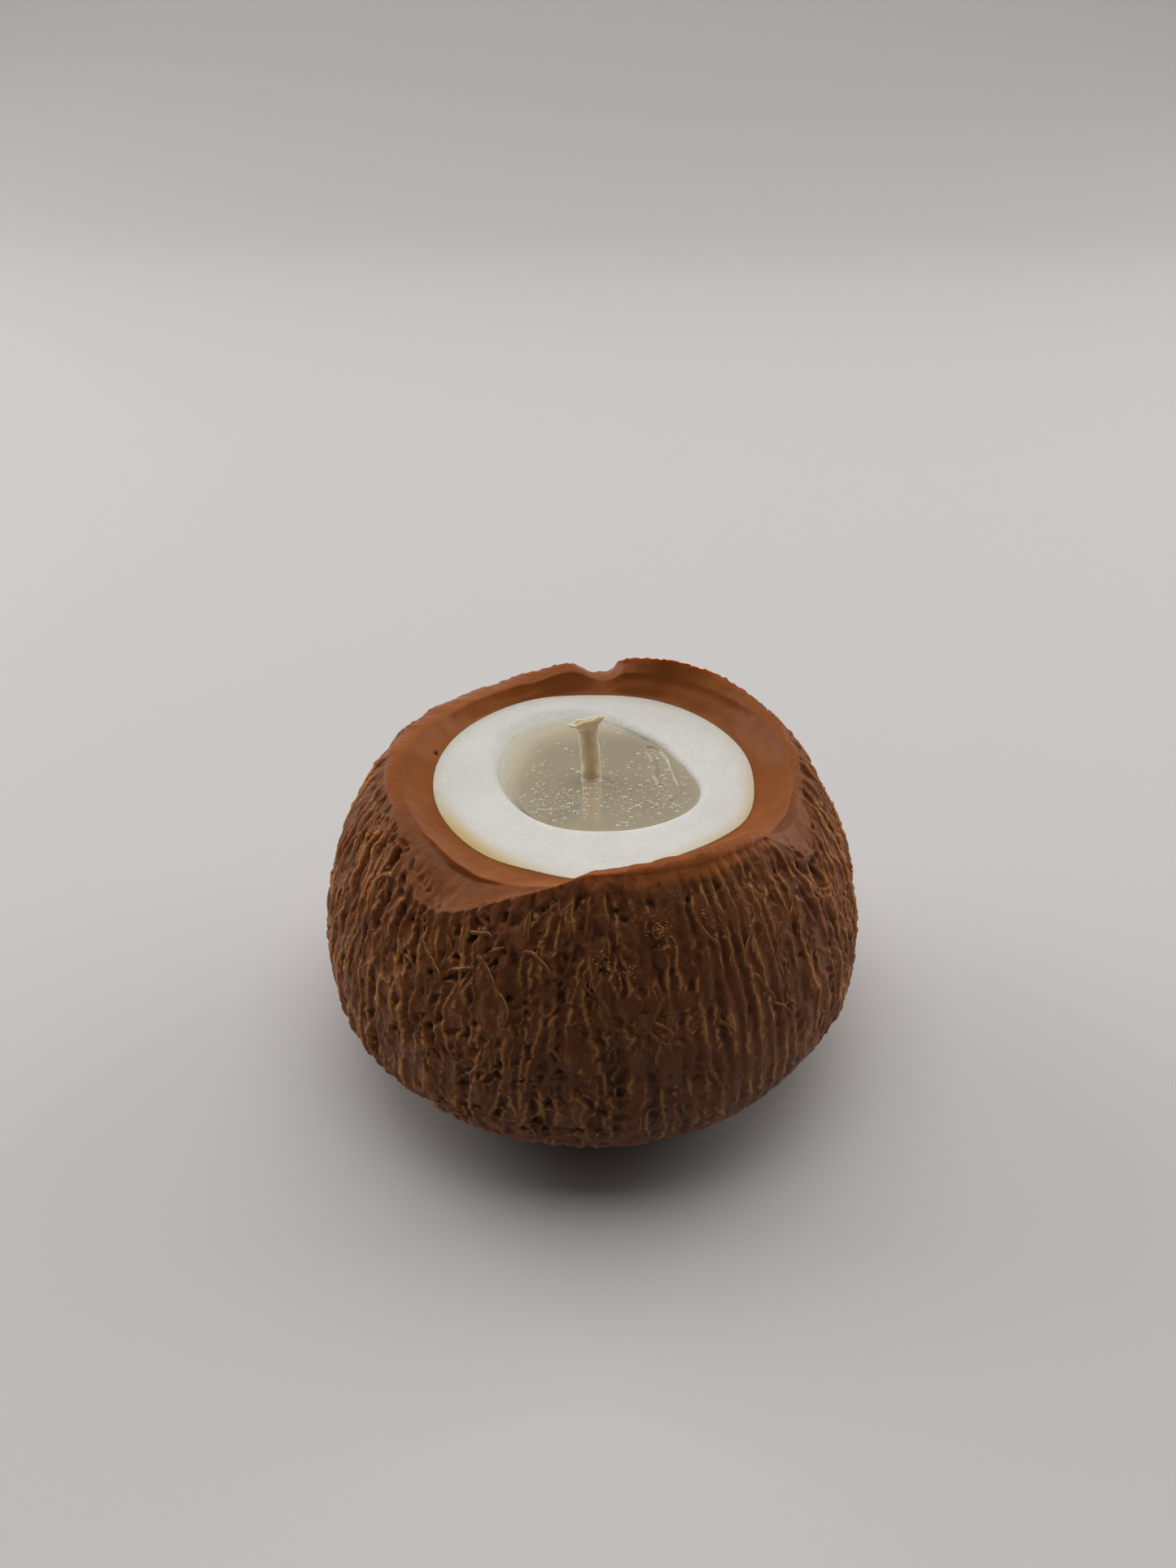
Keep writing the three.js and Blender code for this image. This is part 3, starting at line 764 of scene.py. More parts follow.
def blurred(ring, reach):
    """A closed ring of points, smoothed over "reach" mm to each side."""
    width = int(reach * COLUMNS / AROUND)
    kernel = np.hanning(2 * width + 3)[1:-1]
    padded = np.concatenate([ring[-width:], ring, ring[:width]])
    return np.stack([np.convolve(padded[:, k], kernel / kernel.sum(), mode="valid") for k in range(3)], -1)


def local_mean(grid, rows, columns):
    """A grid's average over a window, closed sideways and held at the top and bottom."""
    padded = np.pad(grid, ((rows, rows), (0, 0)), mode="edge")
    total = np.cumsum(np.pad(padded, ((1, 0), (0, 0))), axis=0)
    grid = (total[2 * rows + 1:] - total[:-2 * rows - 1]) / (2 * rows + 1)
    padded = np.pad(grid, ((0, 0), (columns, columns)), mode="wrap")
    total = np.cumsum(np.pad(padded, ((0, 0), (1, 0))), axis=1)
    return (total[:, 2 * columns + 1:] - total[:, :-2 * columns - 1]) / (2 * columns + 1)


def outward_normals(grid):
    """Normals of a grid of rings of points, each ring closed."""
    along = np.roll(grid, -1, 1) - np.roll(grid, 1, 1)
    normal = np.cross(along, np.gradient(grid, axis=0))
    return normal / np.linalg.norm(normal, axis=2, keepdims=True)


def inset(ring, distance):
    """A ring moved towards the cup's axis."""
    radius = np.hypot(ring[:, 0], ring[:, 1])[:, None]
    return ring - np.append(ring[:, :2] / radius * distance, 0 * radius, axis=1)


def make_cup(material):
    """The cup in three bodies that meet edge to edge, so that each can be finely divided."""
    a = np.arange(COLUMNS) / COLUMNS * 2 * math.pi
    degrees = (np.degrees(a) + 180) % 360 - 180
    u = a * CUP_RADIUS
    grid_a, v = np.meshgrid(a, husk_shares())
    s = up_husk(v)
    depth = relief(grid_a, v)
    outside = husk_point(grid_a, v, depth)
    normals = outward_normals(outside)
    seams = (LOWER_ROWS, LOWER_ROWS + MIDDLE_ROWS)
    rows = np.arange(len(outside))

    # What the material reads: how high a point stands, for painted shade in the hollows; how much of it is
    # a crest, for gold dust and a painted highlight; how near it is to the rim's smooth wax, to a facet,
    # to the roll's top with its painted light, to a seam, and to the sides, for painted side light.
    chipped = chip_zone(degrees)
    # Painted light: the sides, which the side lamps light more than the front, get a lighter, warmer
    # colour.
    side = 1 - bump(degrees, -84, 78)
    roll = bump(degrees, *ROLL)
    # Painted shade: points lower than their neighbours get a darker colour, points higher a lighter one.
    height = 0.52 + (local_mean(depth, 9, 10) - depth) / 1.25
    patchy = smooth(0.15, 0.8, 0.55 + 0.5 * noise(u, s, 6, 7, SEED + 3)) * smooth(-0.02, 0.08, v)
    crest = smooth(0.025, 0.1, local_mean(depth, 1, 2) - depth) * patchy * (1 - smooth(0.93, 0.99, v))
    reach = 0.03 + 0.04 * roll - 0.005 * chipped + 0.022 * noise(u, s, 4, 5, 35)
    reach = np.maximum(reach + 0.03 * side * noise(u, s, 8, 9, 42), 0.02)
    glow = smooth(0, 1, (v - 1 + reach) / reach) * mix(1, 0.55, chipped)
    near_seam = np.max([np.exp(-((rows - k) / 4.0) ** 2) for k in seams], axis=0)
    lower, middle, upper = (Rings("height", "rim", "crest", "facet", "seam", "side", "lit")
                            for _ in range(3))

    def add_outside(piece, first, last):
        for k in range(first, last + 1):
            # Painted light: lit paints the front roll's top lighter.
            piece.add(outside[k], normals[k] if k in seams else None, height=height[k], rim=glow[k],
                      crest=crest[k], facet=chipped * smooth(0, 0.4, glow[k]), seam=near_seam[k],
                      side=side, lit=roll * smooth(0.15, 0.85, glow[k]))

    add_outside(lower, 0, seams[0])
    for k in (seams[0], seams[0] * 2 // 3, seams[0] // 3):
        raised = 0 if k == seams[0] else BAND_THICKNESS / 2
        lower.add(inset(outside[k], BAND_THICKNESS) + np.array([0, 0, raised]))
    add_outside(middle, *seams)
    for k in (seams[1], (seams[0] + seams[1]) // 2, seams[0]):
        middle.add(inset(outside[k], BAND_THICKNESS))
    for t in (1.0, 0.8, 0.55, 0.3):
        upper.add(cavity_ring(degrees, t, -BAND_THICKNESS))
    add_outside(upper, seams[1], len(outside) - 1)
    lip = add_rim(upper, outside[-1], degrees, u, chipped)
    add_wall(upper, lip, degrees, u)
    return (lower.body("husk_lower", material), middle.body("husk_middle", material, hoop=True),
            upper.body("husk_body", material))


def chamfer_zone(degrees):
    start, full, ends, end = CHAMFER
    return smooth(start, full, degrees) * (1 - smooth(ends, end, degrees))


def add_rim(piece, edge, degrees, u, chipped):
    """The rim from the husk's edge to the lip: a roll where it is whole, a flat facet with a crease
    below the lip where it is chipped, and a chamfer at the back right."""
    lip_r = around(LIP, degrees, 1) + 0.2 * noise(u, 0.5, 6, 5, 31)
    lip_z = around(LIP, degrees, 2) + 0.22 * noise(u, 0.5, 5, 5, 32)
    lip = polar(lip_r, degrees, lip_z)
    soft_edge = blurred(edge, 3.0)
    edge_z = blurred(edge, 1.0)[:, 2]
    width = np.linalg.norm(lip - soft_edge, axis=1)
    roll, crown_zone = bump(degrees, *ROLL), bump(degrees, *CROWN)
    # A chip's facet falls or climbs gently to a crease, then stands up steeply to the lip.
    groove = CREASE_DEPTH * mix(1, 0.25, bump(degrees, -20, 40))
    crease_z = np.where(lip_z > edge_z, mix(edge_z, lip_z, FACET_RISE), lip_z) - groove
    husk_over = sum(share * bump(degrees, at, wide) for at, wide, share in HUSK_OVER)
    rough_edge = np.maximum(chipped, smooth(0, 0.1, husk_over))
    crown = RIM_CROWN * mix(1, 2.2, crown_zone) * (1 - chamfer_zone(degrees))
    crown = crown * (1 + 0.5 * crown_zone * noise(u, 0.5, 5.5, 5, 43))
    rugged = 1 + 1.5 * roll
    for q in RIM_SHARES:
        along = q * width
        ring = mix(mix(edge, soft_edge, smooth(0, 0.45, q)), lip, q)
        facet_z = mix(edge_z, crease_z, smooth(-0.1, CREASE_AT, q))
        facet_z = mix(facet_z, lip_z, smooth(CREASE_AT, 1, q))
        roll_z = ring[:, 2] + crown * (4 * q * (1 - q)) ** 0.6
        texture = 0.11 * noise(u, along, 2.8, 2.2, 33) + 0.05 * rugged * noise(u, along, 1.1, 1.2, 34)
        ring[:, 2] = mix(roll_z, facet_z, chipped) + texture * math.sin(math.pi * q)
        facet = chipped * float(1 - smooth(0.9, 1.0, q)) * (1 - 0.65 * bump(degrees, -20, 40))
        crease = chipped * math.exp(-((q - CREASE_AT) / 0.09) ** 2)
        border = smooth(0, 0.16, q - husk_over + 0.1 * noise(u, along, 3.0, 3.0, 38))
        pits = pocks(u, along, 1.8, 1.6, 39, (0.05, 0.6), (0.3, 0.8)) * (1 - border) * chipped
        ring[:, 2] -= 0.9 * pits * math.sin(math.pi * min(1, q + 0.1))
        # Painted shade: height drops in the crease and the pits, so they are painted darker. Painted
        # light: lit paints the roll's top lighter.
        piece.add(ring, height=0.8 - groove * crease - 0.35 * pits, facet=facet * border,
                  rim=mix(1, mix(0.4, 1, border), rough_edge), lit=roll * float(1 - smooth(0.1, 0.6, q)))
    return lip


def add_wall(piece, lip, degrees, u):
    """The inner wall from the lip to the white wax, and the bowl below it."""
    white = polar(around(WHITE_EDGE, degrees), degrees, WHITE_Z)
    blister_at, blister_share, blister_depth = BLISTER
    for step in range(1, WALL_ROWS + 1):
        g = 1 - step / WALL_ROWS
        ring = mix(white, lip, g)
        ring[:, 2] = mix(WHITE_Z, lip[:, 2], g ** WALL_POWER)
        swell = 0.28 * noise(u, 6 * g, 9, 4, 36) + 0.1 * noise(u, 6 * g, 3.4, 2, 37)
        ring[:, 2] += swell * math.sin(math.pi * g)
        groove = chamfer_zone(degrees) * math.exp(-((g - 0.82) / 0.13) ** 2)
        off = np.hypot(degrees - blister_at, (g - blister_share) / 0.09)
        blister = np.exp(-off ** 4)
        ring = inset(ring, -CHAMFER_GROOVE * groove[:, None])
        ring[:, 2] -= blister_depth * blister
        # Painted light: lit paints the back of the inner wall lighter.
        lit = 0.6 * bump(degrees, 95, 85) * smooth(0.1, 0.7, g)
        # Painted shade: height drops in the chamfer's groove and the blister, so they are painted darker.
        piece.add(ring, height=0.8 - 0.18 * groove - 0.8 * blister, rim=1 - 0.85 * blister, lit=lit)
    for t in (0.25, 0.55, 0.8, 1.0):
        piece.add(cavity_ring(degrees, t), height=0.8, rim=1.0)


# ---- Loose strings and crumbs on the husk ----

# Clearly seen strings as (radius, [(angle, height), ...]).
STRINGS = [
    (0.75, [(-141.5, 49.1), (-144, 49.2), (-146, 48.0), (-146, 46.0), (-145, 44.2), (-143.5, 42.8)]),
    (0.55, [(-130, 47.8), (-128, 45.1), (-124, 43.0), (-122, 41.8), (-121, 39.6)]),
    (0.50, [(-122, 47.5), (-120.5, 45.2), (-121, 43.3), (-122, 41.8)]),
    (0.55, [(-114, 46.4), (-111, 44.7), (-109, 42.9), (-107, 41.2), (-106, 39.9), (-106, 38.6),
            (-107, 37.0)]),
    (0.60, [(-103, 53.0), (-103.4, 52.0), (-103, 50.7), (-102.6, 49.0)]),
    (0.40, [(-119.5, 42.8), (-117, 43.4), (-115, 44.2), (-113.6, 44.0)]),
    (0.50, [(-104.5, 47.7), (-102, 48.1), (-100, 47.3), (-98, 46.2), (-97.6, 44.8)]),
    (0.42, [(-111.5, 46.5), (-109.5, 47.5), (-107.5, 48.0)]),
    (0.42, [(-117, 48.4), (-114, 48.7), (-112, 49.2), (-110, 48.3)]),
    (0.45, [(-87, 45.9), (-88, 44.0), (-88, 42.9), (-87, 41.7), (-86, 39.7)]),
    (0.45, [(-90, 46.2), (-91, 44.3), (-90, 43.3), (-88, 42.8)]),
    (0.38, [(-88, 42.8), (-89.4, 41.6), (-89.4, 40.6)]),
    (0.42, [(-64.4, 51.2), (-65, 49.9), (-64, 48.2), (-62, 47.3), (-61.6, 45.4)]),
    (0.48, [(-51, 48.7), (-54, 46.9), (-55, 45.6), (-57, 43.5)]),
    (0.45, [(-59, 46.0), (-60, 44.3), (-59, 42.7)]),
    (0.45, [(-76, 44.8), (-76, 42.5), (-77, 40.3), (-78, 38.9), (-75, 37.4), (-75, 35.5)]),
    (0.45, [(-78, 38.9), (-78.6, 37.2), (-77, 35.4), (-75.4, 34.9)]),
    (0.45, [(-56, 41.5), (-54, 39.8), (-52, 37.0), (-52, 34.4)]),
    (0.42, [(-39, 48.7), (-40, 46.7), (-43, 45.0)]),
    (0.45, [(-64, 38.8), (-65, 36.7), (-63, 35.3), (-62, 32.4)]),
    (0.50, [(-109, 33.4), (-111, 30.3), (-113, 27.8), (-112, 25.3)]),
    (0.48, [(-97, 38.0), (-97, 34.6), (-95, 32.8)]),
    (0.45, [(-77, 37.0), (-77, 34.8), (-78, 33.2), (-77, 31.3)]),
    (0.45, [(-68, 34.5), (-68, 31.4), (-67, 27.8), (-65, 24.8)]),
    (0.45, [(-96, 27.3), (-94, 26.0), (-92, 24.3)]),
]
STRING_SCALE = 0.68  # of the radii above
RANDOM_STRINGS = 52
RANDOM_HEIGHTS = (9, 50)
RANDOM_LENGTHS = (4, 13)
RANDOM_STEP = 1.6
DEGREES_TO_A_MM = 1.45  # round the husk, roughly
STRING_SIDES = 8
STRING_STEP = 0.42
STRING_WAVE = 0.35  # degrees by which a string swings to each side
MM_TO_A_DEGREE = 0.7  # round the husk, roughly
# Clusters of golden crumbs as (angle, height, spread, how many).
CRUMBS = [
    (-74, 50.4, 1.9, 60), (-87, 47.2, 1.8, 40), (-81.5, 46.2, 1.2, 20), (-129, 47.8, 1.2, 18),
    (-64, 51.2, 0.8, 8), (-70, 36.2, 0.7, 8), (-104, 30.5, 1.4, 8), (-92, 27.5, 1.3, 8),
]
CRUMB_RADII = (0.07, 0.19)


def tube(points, normals, radii):
    """A closed tube through a path that lies on a surface."""
    tangents = np.gradient(points, axis=0)
    tangents /= np.linalg.norm(tangents, axis=1, keepdims=True)
    across = np.cross(tangents, normals)
    across /= np.linalg.norm(across, axis=1, keepdims=True)
    up = np.cross(across, tangents)
    turn = np.arange(STRING_SIDES) / STRING_SIDES * 2 * math.pi
    rings = [p + r * (np.cos(turn)[:, None] * c + np.sin(turn)[:, None] * n)
             for p, c, n, r in zip(points, across, up, radii)]
    return loft(rings[::-1])


def string_tube(radius, path, rng):
    """A string laid along (angle, height) points: it follows the crests and bridges the pits."""
    path = np.array(path, float)
    lengths = np.hypot(np.diff(path[:, 0]) * MM_TO_A_DEGREE, np.diff(path[:, 1]))
    steps = np.concatenate([[0], np.cumsum(lengths)])
    count = max(8, int(steps[-1] / STRING_STEP))
    t = np.linspace(0, steps[-1], count)
    degrees, z = np.interp(t, steps, path[:, 0]), np.interp(t, steps, path[:, 1])
    for _ in range(3):
        degrees[1:-1] = (degrees[:-2] + 2 * degrees[1:-1] + degrees[2:]) / 4
        z[1:-1] = (z[:-2] + 2 * z[1:-1] + z[2:]) / 4
    degrees += STRING_WAVE * np.sin(t * 1.1 + rng.uniform(0, 6)) * rng.uniform(0.3, 1)
    a, v = husk_place(degrees, z)
    depth = relief(a, v)
    level = np.convolve(np.pad(depth, 4, mode="edge"), np.ones(9) / 9, mode="valid")
    depth = np.minimum(depth, level) + radius * 0.35
    points = husk_point(a, v, depth)
    normals = husk_point(a, v, depth - 1) - points
    share = t / t[-1]
    taper = np.sqrt(np.clip(np.minimum(share, 1 - share) * steps[-1] / 1.1, 0.02, 1))
    radii = radius * taper * (1 + 0.12 * np.sin(t * 2.3 + rng.uniform(0, 6)))
    points -= normals * ((1 - taper) * radius * 0.6)[:, None]
    return tube(points, normals, radii)


def random_strings(rng, count):
    """Strings that wander down the husk, some short ones across it, some with a side branch. There are
    fewer at the front, where the listed ones lie, and none near the rim."""
    made = []
    while len(made) < count:
        degrees, z = rng.uniform(-180, 180), rng.uniform(*RANDOM_HEIGHTS)
        if -90 < degrees < -58 and rng.random() < 0.6:
            continue
        if z > around(EDGE, degrees) - 5:
            continue
        length = rng.uniform(*RANDOM_LENGTHS)
        path, heading = [(degrees, z)], rng.normal(0, 0.35)
        if rng.random() < 0.14:
            heading += rng.choice([-1.2, 1.2])
            length *= 0.5
        for _ in range(int(length / RANDOM_STEP)):
            heading = 0.75 * heading + rng.normal(0, 0.24)
            degrees += math.sin(heading) * RANDOM_STEP * DEGREES_TO_A_MM
            z -= math.cos(heading) * RANDOM_STEP
            path.append((degrees, z))
        if len(path) > 2 and z > 4:
            made.append((rng.uniform(0.2, 0.32), path))
            if rng.random() < 0.35:
                side = rng.choice([-1, 1])
                x, y = path[len(path) // 2]
                branch = [(x, y), (x + side * 2.2, y + 1.5), (x + side * 3.1, y + 3.4)]
                made.append((rng.uniform(0.18, 0.27), branch))
    return made


def crumb(centre, radius, rng):
    """A small lump: an uneven octahedron, split once."""
    square = np.array([(1, 0, 0), (0, 1, 0), (-1, 0, 0), (0, -1, 0)], float)
    up = np.array([0, 0, 1.0])
    points = np.concatenate([square, [up, -up], square + np.roll(square, -1, 0), square + up, square - up])
    points /= np.linalg.norm(points, axis=1, keepdims=True)
    points *= rng.uniform(0.75, 1.2, (len(points), 1)) * rng.uniform(0.8, 1.25, (1, 3))
    faces = []
    for i in range(4):
        j = (i + 1) % 4
        middle, ui, uj, di, dj = 6 + i, 10 + i, 10 + j, 14 + i, 14 + j
        faces += [[i, middle, ui], [middle, j, uj], [ui, uj, 4], [ui, middle, uj]]
        faces += [[i, di, middle], [middle, dj, j], [di, 5, dj], [di, dj, middle]]
    return centre + radius * points, faces


def make_strings(material):
    rng = np.random.default_rng(SEED)
    bodies, pale, flank = [], [], []
    around_tube = np.abs(np.cos(np.arange(STRING_SIDES) / STRING_SIDES * 2 * math.pi))
    seen = [(STRING_SCALE * radius, path) for radius, path in STRINGS]
    for radius, path in seen + random_strings(rng, RANDOM_STRINGS):
        bodies.append(string_tube(radius, path, rng))
        size = len(bodies[-1][0])
        pale.append(np.zeros(size))
        # Painted highlight along the string's flanks.
        flank.append(np.append(np.tile(around_tube, (size - 2) // STRING_SIDES), [1, 1]))
    for degrees, z, spread, count in CRUMBS:
        for _ in range(count):
            at = np.array([degrees + rng.normal(0, spread * 0.6)])
            a, v = husk_place(at, np.array([z + rng.normal(0, spread * 0.42)]))
            radius = rng.uniform(*CRUMB_RADII)
            bodies.append(crumb(husk_point(a, v, relief(a, v) + radius * 0.1)[0], radius, rng))
            size = len(bodies[-1][0])
            pale.append(np.full(size, rng.uniform(0.1, 0.8)))
            flank.append(np.zeros(size))
    values = {"pale": np.concatenate(pale), "flank": np.concatenate(flank)}
    return make_object("husk_strings", *fused(bodies), material, values)


# ---- White wax ----

FILL_COLUMNS = 256
WHITE_ROWS = 26
EDGE_LIFT = 0.12  # how much higher the gel's edge stands at the back left
WHITE_CLIMB = 0.16  # how far the white wax climbs the brown, and how uneven its surface is
WHITE_SWELL = 0.05
SHELF_WIDTH = 6.4  # the hollow's wall steps in under the gel's edge
SHELF_DEPTH = 1.5
HOLLOW_DEPTHS = (0.0, 0.1, 0.25, 0.45, 0.7, 1.0, 1.4, 1.9, 2.6, 3.5, 4.8, 6.5, 9.0, 13.0, 19.0, 25.0, 29.2)
# The wax rounds over to the gel: (distance outside the gel, share of the height).
ROUNDING = [(1.7, 1.0), (1.25, 0.985), (0.9, 0.93), (0.6, 0.82), (0.35, 0.63), (0.16, 0.4), (0.05, 0.18)]
ROUNDING_WIDTH = ROUNDING[0][0]
NEAR_GEL = 0.11  # how much painted gel shade the wax gets beside the gel where that is thin


def gel_level(degrees):
    """Height of the gel's edge."""
    return GEL_Z + EDGE_LIFT * bump(degrees, 135, 95)


def make_white_wax(material):
    degrees = np.arange(FILL_COLUMNS) / FILL_COLUMNS * 360
    wax = Rings("stain", "deep")
    for t in (1.0, 0.8, 0.5, 0.25, 0.08):
        wax.add(cavity_ring(degrees, t, GAP), stain=1.0)
    soft = 1 + 1.1 * bump(degrees, *SOFT_SIDE)
    outer = polar(around(WHITE_EDGE, degrees) + 0.12, degrees, WHITE_Z)
    inner = polar(around(GEL_EDGE, degrees) + ROUNDING_WIDTH * soft, degrees, WHITE_Z, GEL_CENTRE)
    width = np.linalg.norm(outer - inner, axis=1)
    strength = 0.42 + 0.58 * np.maximum(bump(degrees, -140, 50), 0.6 * bump(degrees, -20, 50))
    for step in range(WHITE_ROWS):
        q = (step / (WHITE_ROWS - 1)) ** 1.5
        ring = mix(outer, inner, q)
        from_edge = q * width
        u = np.radians(degrees) * 20
        ring[:, 2] += WHITE_CLIMB * np.exp(-from_edge / 0.8) + WHITE_SWELL * noise(u, from_edge, 7, 4, 41)
        ring[:, 2] -= 0.1 * smooth(2.4, 1.4, width - from_edge) * bump(degrees, 110, 80)
        wax.add(ring, stain=strength * np.exp(-(from_edge / 3.0) ** 1.4))
    for out, up in ROUNDING[1:]:
        gentle = mix(up, smooth(0, ROUNDING_WIDTH, out), bump(degrees, *SOFT_SIDE))
        z = mix(gel_level(degrees), WHITE_Z, gentle)
        wax.add(polar(around(GEL_EDGE, degrees) + out * soft, degrees, z, GEL_CENTRE),
                deep=NEAR_GEL * smooth(ROUNDING_WIDTH, 0, out) * bump(degrees, *GEL_THIN))
    slope = np.maximum(bump(degrees, 140, 110), 0.1) * (1 + 0.4 * bump(degrees, 95, 45))
    for drop in HOLLOW_DEPTHS:
        down = drop / (GEL_Z - HOLLOW_FLOOR_Z)
        t = math.asin(down ** (1 / BOWL_POWER)) * 2 / math.pi
        ring = hollow_ring(degrees, t)
        outward = ring - np.array([*GEL_CENTRE, 0])
        outward[:, 2] = 0
        shelf = 1 - math.exp(-drop / SHELF_DEPTH)
        step_in = (SHELF_WIDTH * slope * shelf * (1 - smooth(0.7, 1.0, t)))[:, None]
        ring -= outward / np.linalg.norm(outward, axis=1, keepdims=True) * step_in
        # Painted shade: deep paints the wax darker under the gel's edge and paler again deep down.
        wax.add(ring, deep=1 - 0.7 * math.exp(-drop / 1.1) + float(smooth(4, 16, drop)))
    return wax.body("white_wax_body", material)


# ---- Gel ----

GEL_ROWS = 84
GEL_COLUMNS = 480
GEL_OVERLAP = 0.08  # the gel reaches this far into the white wax
# A raised glassy fold in the gel's surface at the right, as (x, y), and a second one inside it.
FOLDS = [
    [(9.4, 12.4), (10.6, 12.2), (11.7, 11.0), (12.7, 8.6), (13.2, 6.0), (13.6, 3.2), (14.3, 0.6),
     (14.0, -1.6), (12.4, -3.2)],
    [(9.3, 10.6), (10.3, 8.6), (10.6, 5.8), (10.3, 3.4), (11.0, 1.2)],
]
FOLD_HEIGHT = 0.55
FOLD_WIDTH = 0.33
EDGE_CLIMB = 0.12  # how far the gel climbs the white wax, and the wick
WICK_CLIMB = 0.42
WICK_SQUASH = 1.3  # distances from the wick count less sideways, as it is a flat braid


def to_path(points, path):
    """Distance in mm from points to a line through (x, y) places."""
    best = np.full(len(points), 1e9)
    for (x0, y0), (x1, y1) in zip(path[:-1], path[1:]):
        run = np.array([x1 - x0, y1 - y0])
        off = points[:, :2] - np.array([x0, y0])
        t = np.clip(off @ run / (run @ run), 0, 1)
        best = np.minimum(best, np.linalg.norm(off - t[:, None] * run, axis=1))
    return best


def make_gel(material):
    """The gel: it climbs the wick and the white wax a little, and is clear where it thins out."""
    degrees = np.arange(GEL_COLUMNS) / GEL_COLUMNS * 360
    gel = Rings("haze")
    for t in np.linspace(1, 0, 12):
        gel.add(hollow_ring(degrees, t, -GEL_OVERLAP))
    edge = around(GEL_EDGE, degrees) + GEL_OVERLAP
    thin = 0.4 + 5.4 * bump(degrees, 140, 115)
    climb = EDGE_CLIMB * (1 - bump(degrees, *GEL_THIN))
    for step in range(GEL_ROWS):
        q = (step / (GEL_ROWS - 1)) ** 1.2
        ring = polar(edge * (1 - q) + 0.02, degrees, GEL_Z, GEL_CENTRE)
        from_edge = edge * q
        off_x, off_y = ring[:, 0] - WICK_FOOT[0], ring[:, 1] - WICK_FOOT[1]
        to_wick = np.maximum(np.hypot(off_x / WICK_SQUASH, off_y) - WICK_HALF_THICKNESS, 0)
        ring[:, 2] += climb * np.exp(-from_edge / 0.7) + WICK_CLIMB * np.exp(-to_wick / 0.55)
        ring[:, 2] += (gel_level(degrees) - GEL_Z) * np.exp(-(from_edge / 6) ** 2)
        for path in FOLDS:
            ring[:, 2] += FOLD_HEIGHT * np.exp(-(to_path(ring, path) / FOLD_WIDTH) ** 2)
        gel.add(ring, haze=smooth(0, 1, from_edge / thin))
    return gel.body("gel_wax_body", material)


# Where bubbles gather: (x, y, spread, how many, smallest radius, largest radius).
BUBBLE_GROUPS = [
    (-6.5, -4, 2.6, 180, 0.17, 0.38), (-2, -2, 1.8, 80, 0.16, 0.36), (-8.5, -5.5, 2, 60, 0.16, 0.34),
    (6, -5, 3, 80, 0.16, 0.4), (11.5, -4, 2.4, 80, 0.17, 0.4), (2.5, 1, 1.8, 44, 0.16, 0.36),
    (10, 5, 3.6, 84, 0.16, 0.4), (-4, 8, 5, 44, 0.14, 0.3), (-8, 3, 3, 40, 0.14, 0.32),
    (5, -9, 3.6, 40, 0.15, 0.34),
]
# Larger ones as (x, y, z, radius).
SINGLE_BUBBLES = [
    (7.2, -5.1, 49.2, 0.5), (5.9, -5.7, 49.2, 0.3), (5.2, -2.6, 49.1, 0.42), (-4.6, 11.6, 49.2, 0.38),
    (11.0, 8.6, 49.2, 0.36), (12.0, 2.6, 49.2, 0.36), (-2.4, 4.4, 49.3, 0.4),
]
BUBBLE_DEPTH = 0.4  # no bubble's centre is deeper than this below the gel's level
BUBBLE_GAP = 0.14  # least room between bubbles, to the gel's edge and to the wick
EDGE_GAP = 0.9
WICK_GAP = 0.1


def ball(rows=7, sides=12):
    """A unit ball as rings with a point at each end."""
    tilts = [math.pi * row / rows for row in range(1, rows)]
    turn = np.arange(sides) / sides * 2 * math.pi
    points, faces = loft([np.stack([np.sin(tilt) * np.cos(turn), np.sin(tilt) * np.sin(turn),
                                    np.full(sides, -np.cos(tilt))], -1) for tilt in tilts])
    points[-2:] = [(0, 0, -1), (0, 0, 1)]
    return points, faces


def bubbles(rng):
    """Scattered bubbles, each inside the gel and clear of the wick and of each other."""
    kept = list(SINGLE_BUBBLES)
    for x0, y0, spread, count, small, large in BUBBLE_GROUPS:
        for _ in range(count):
            x, y = x0 + rng.normal(0, spread), y0 + rng.normal(0, spread)
            radius = small + (large - small) * rng.random() ** 2
            z = GEL_Z + radius * 0.3 - BUBBLE_DEPTH * rng.random() ** 2
            off = (x - GEL_CENTRE[0], y - GEL_CENTRE[1])
            to_edge = around(GEL_EDGE, math.degrees(math.atan2(off[1], off[0]))) - math.hypot(*off)
            to_wick = math.hypot((x - WICK_FOOT[0]) / WICK_SQUASH, y - WICK_FOOT[1]) - WICK_HALF_WIDTH
            if to_edge < EDGE_GAP + radius or to_wick < WICK_GAP + radius:
                continue
            if all(math.dist((x, y, z), k[:3]) >= radius + k[3] + BUBBLE_GAP for k in kept):
                kept.append((x, y, z, radius))
    return kept


def make_bubbles(material):
    """Round bubbles at the gel's surface, which the largest break through."""
    points, faces = ball()
    places = bubbles(np.random.default_rng(SEED + 1))
    balls = [(np.array(place) + radius * points, faces) for *place, radius in places]
    return make_object("gel_bubbles", *fused(balls), material)


# ---- Wick ----

WICK_SIDES = 40
WICK_ROWS = 70
WICK_FLARE = 1.8  # width of the cut end over the width of the braid
WICK_FLARE_LENGTH = 3.8
FRAY_LENGTH = 3.4
TORN_SLANT = 0.95
# Notches in the cut end as (depth, how many to a radian, a number of their own).
NOTCHES = [(0.35, 2.2, 5), (0.3, 5, 9)]
# The cut end is a shallow cup, with rings at (share of its width, depth).
END_CUP = [(0.86, 0.15), (0.6, 0.9), (0.3, 1.3)]


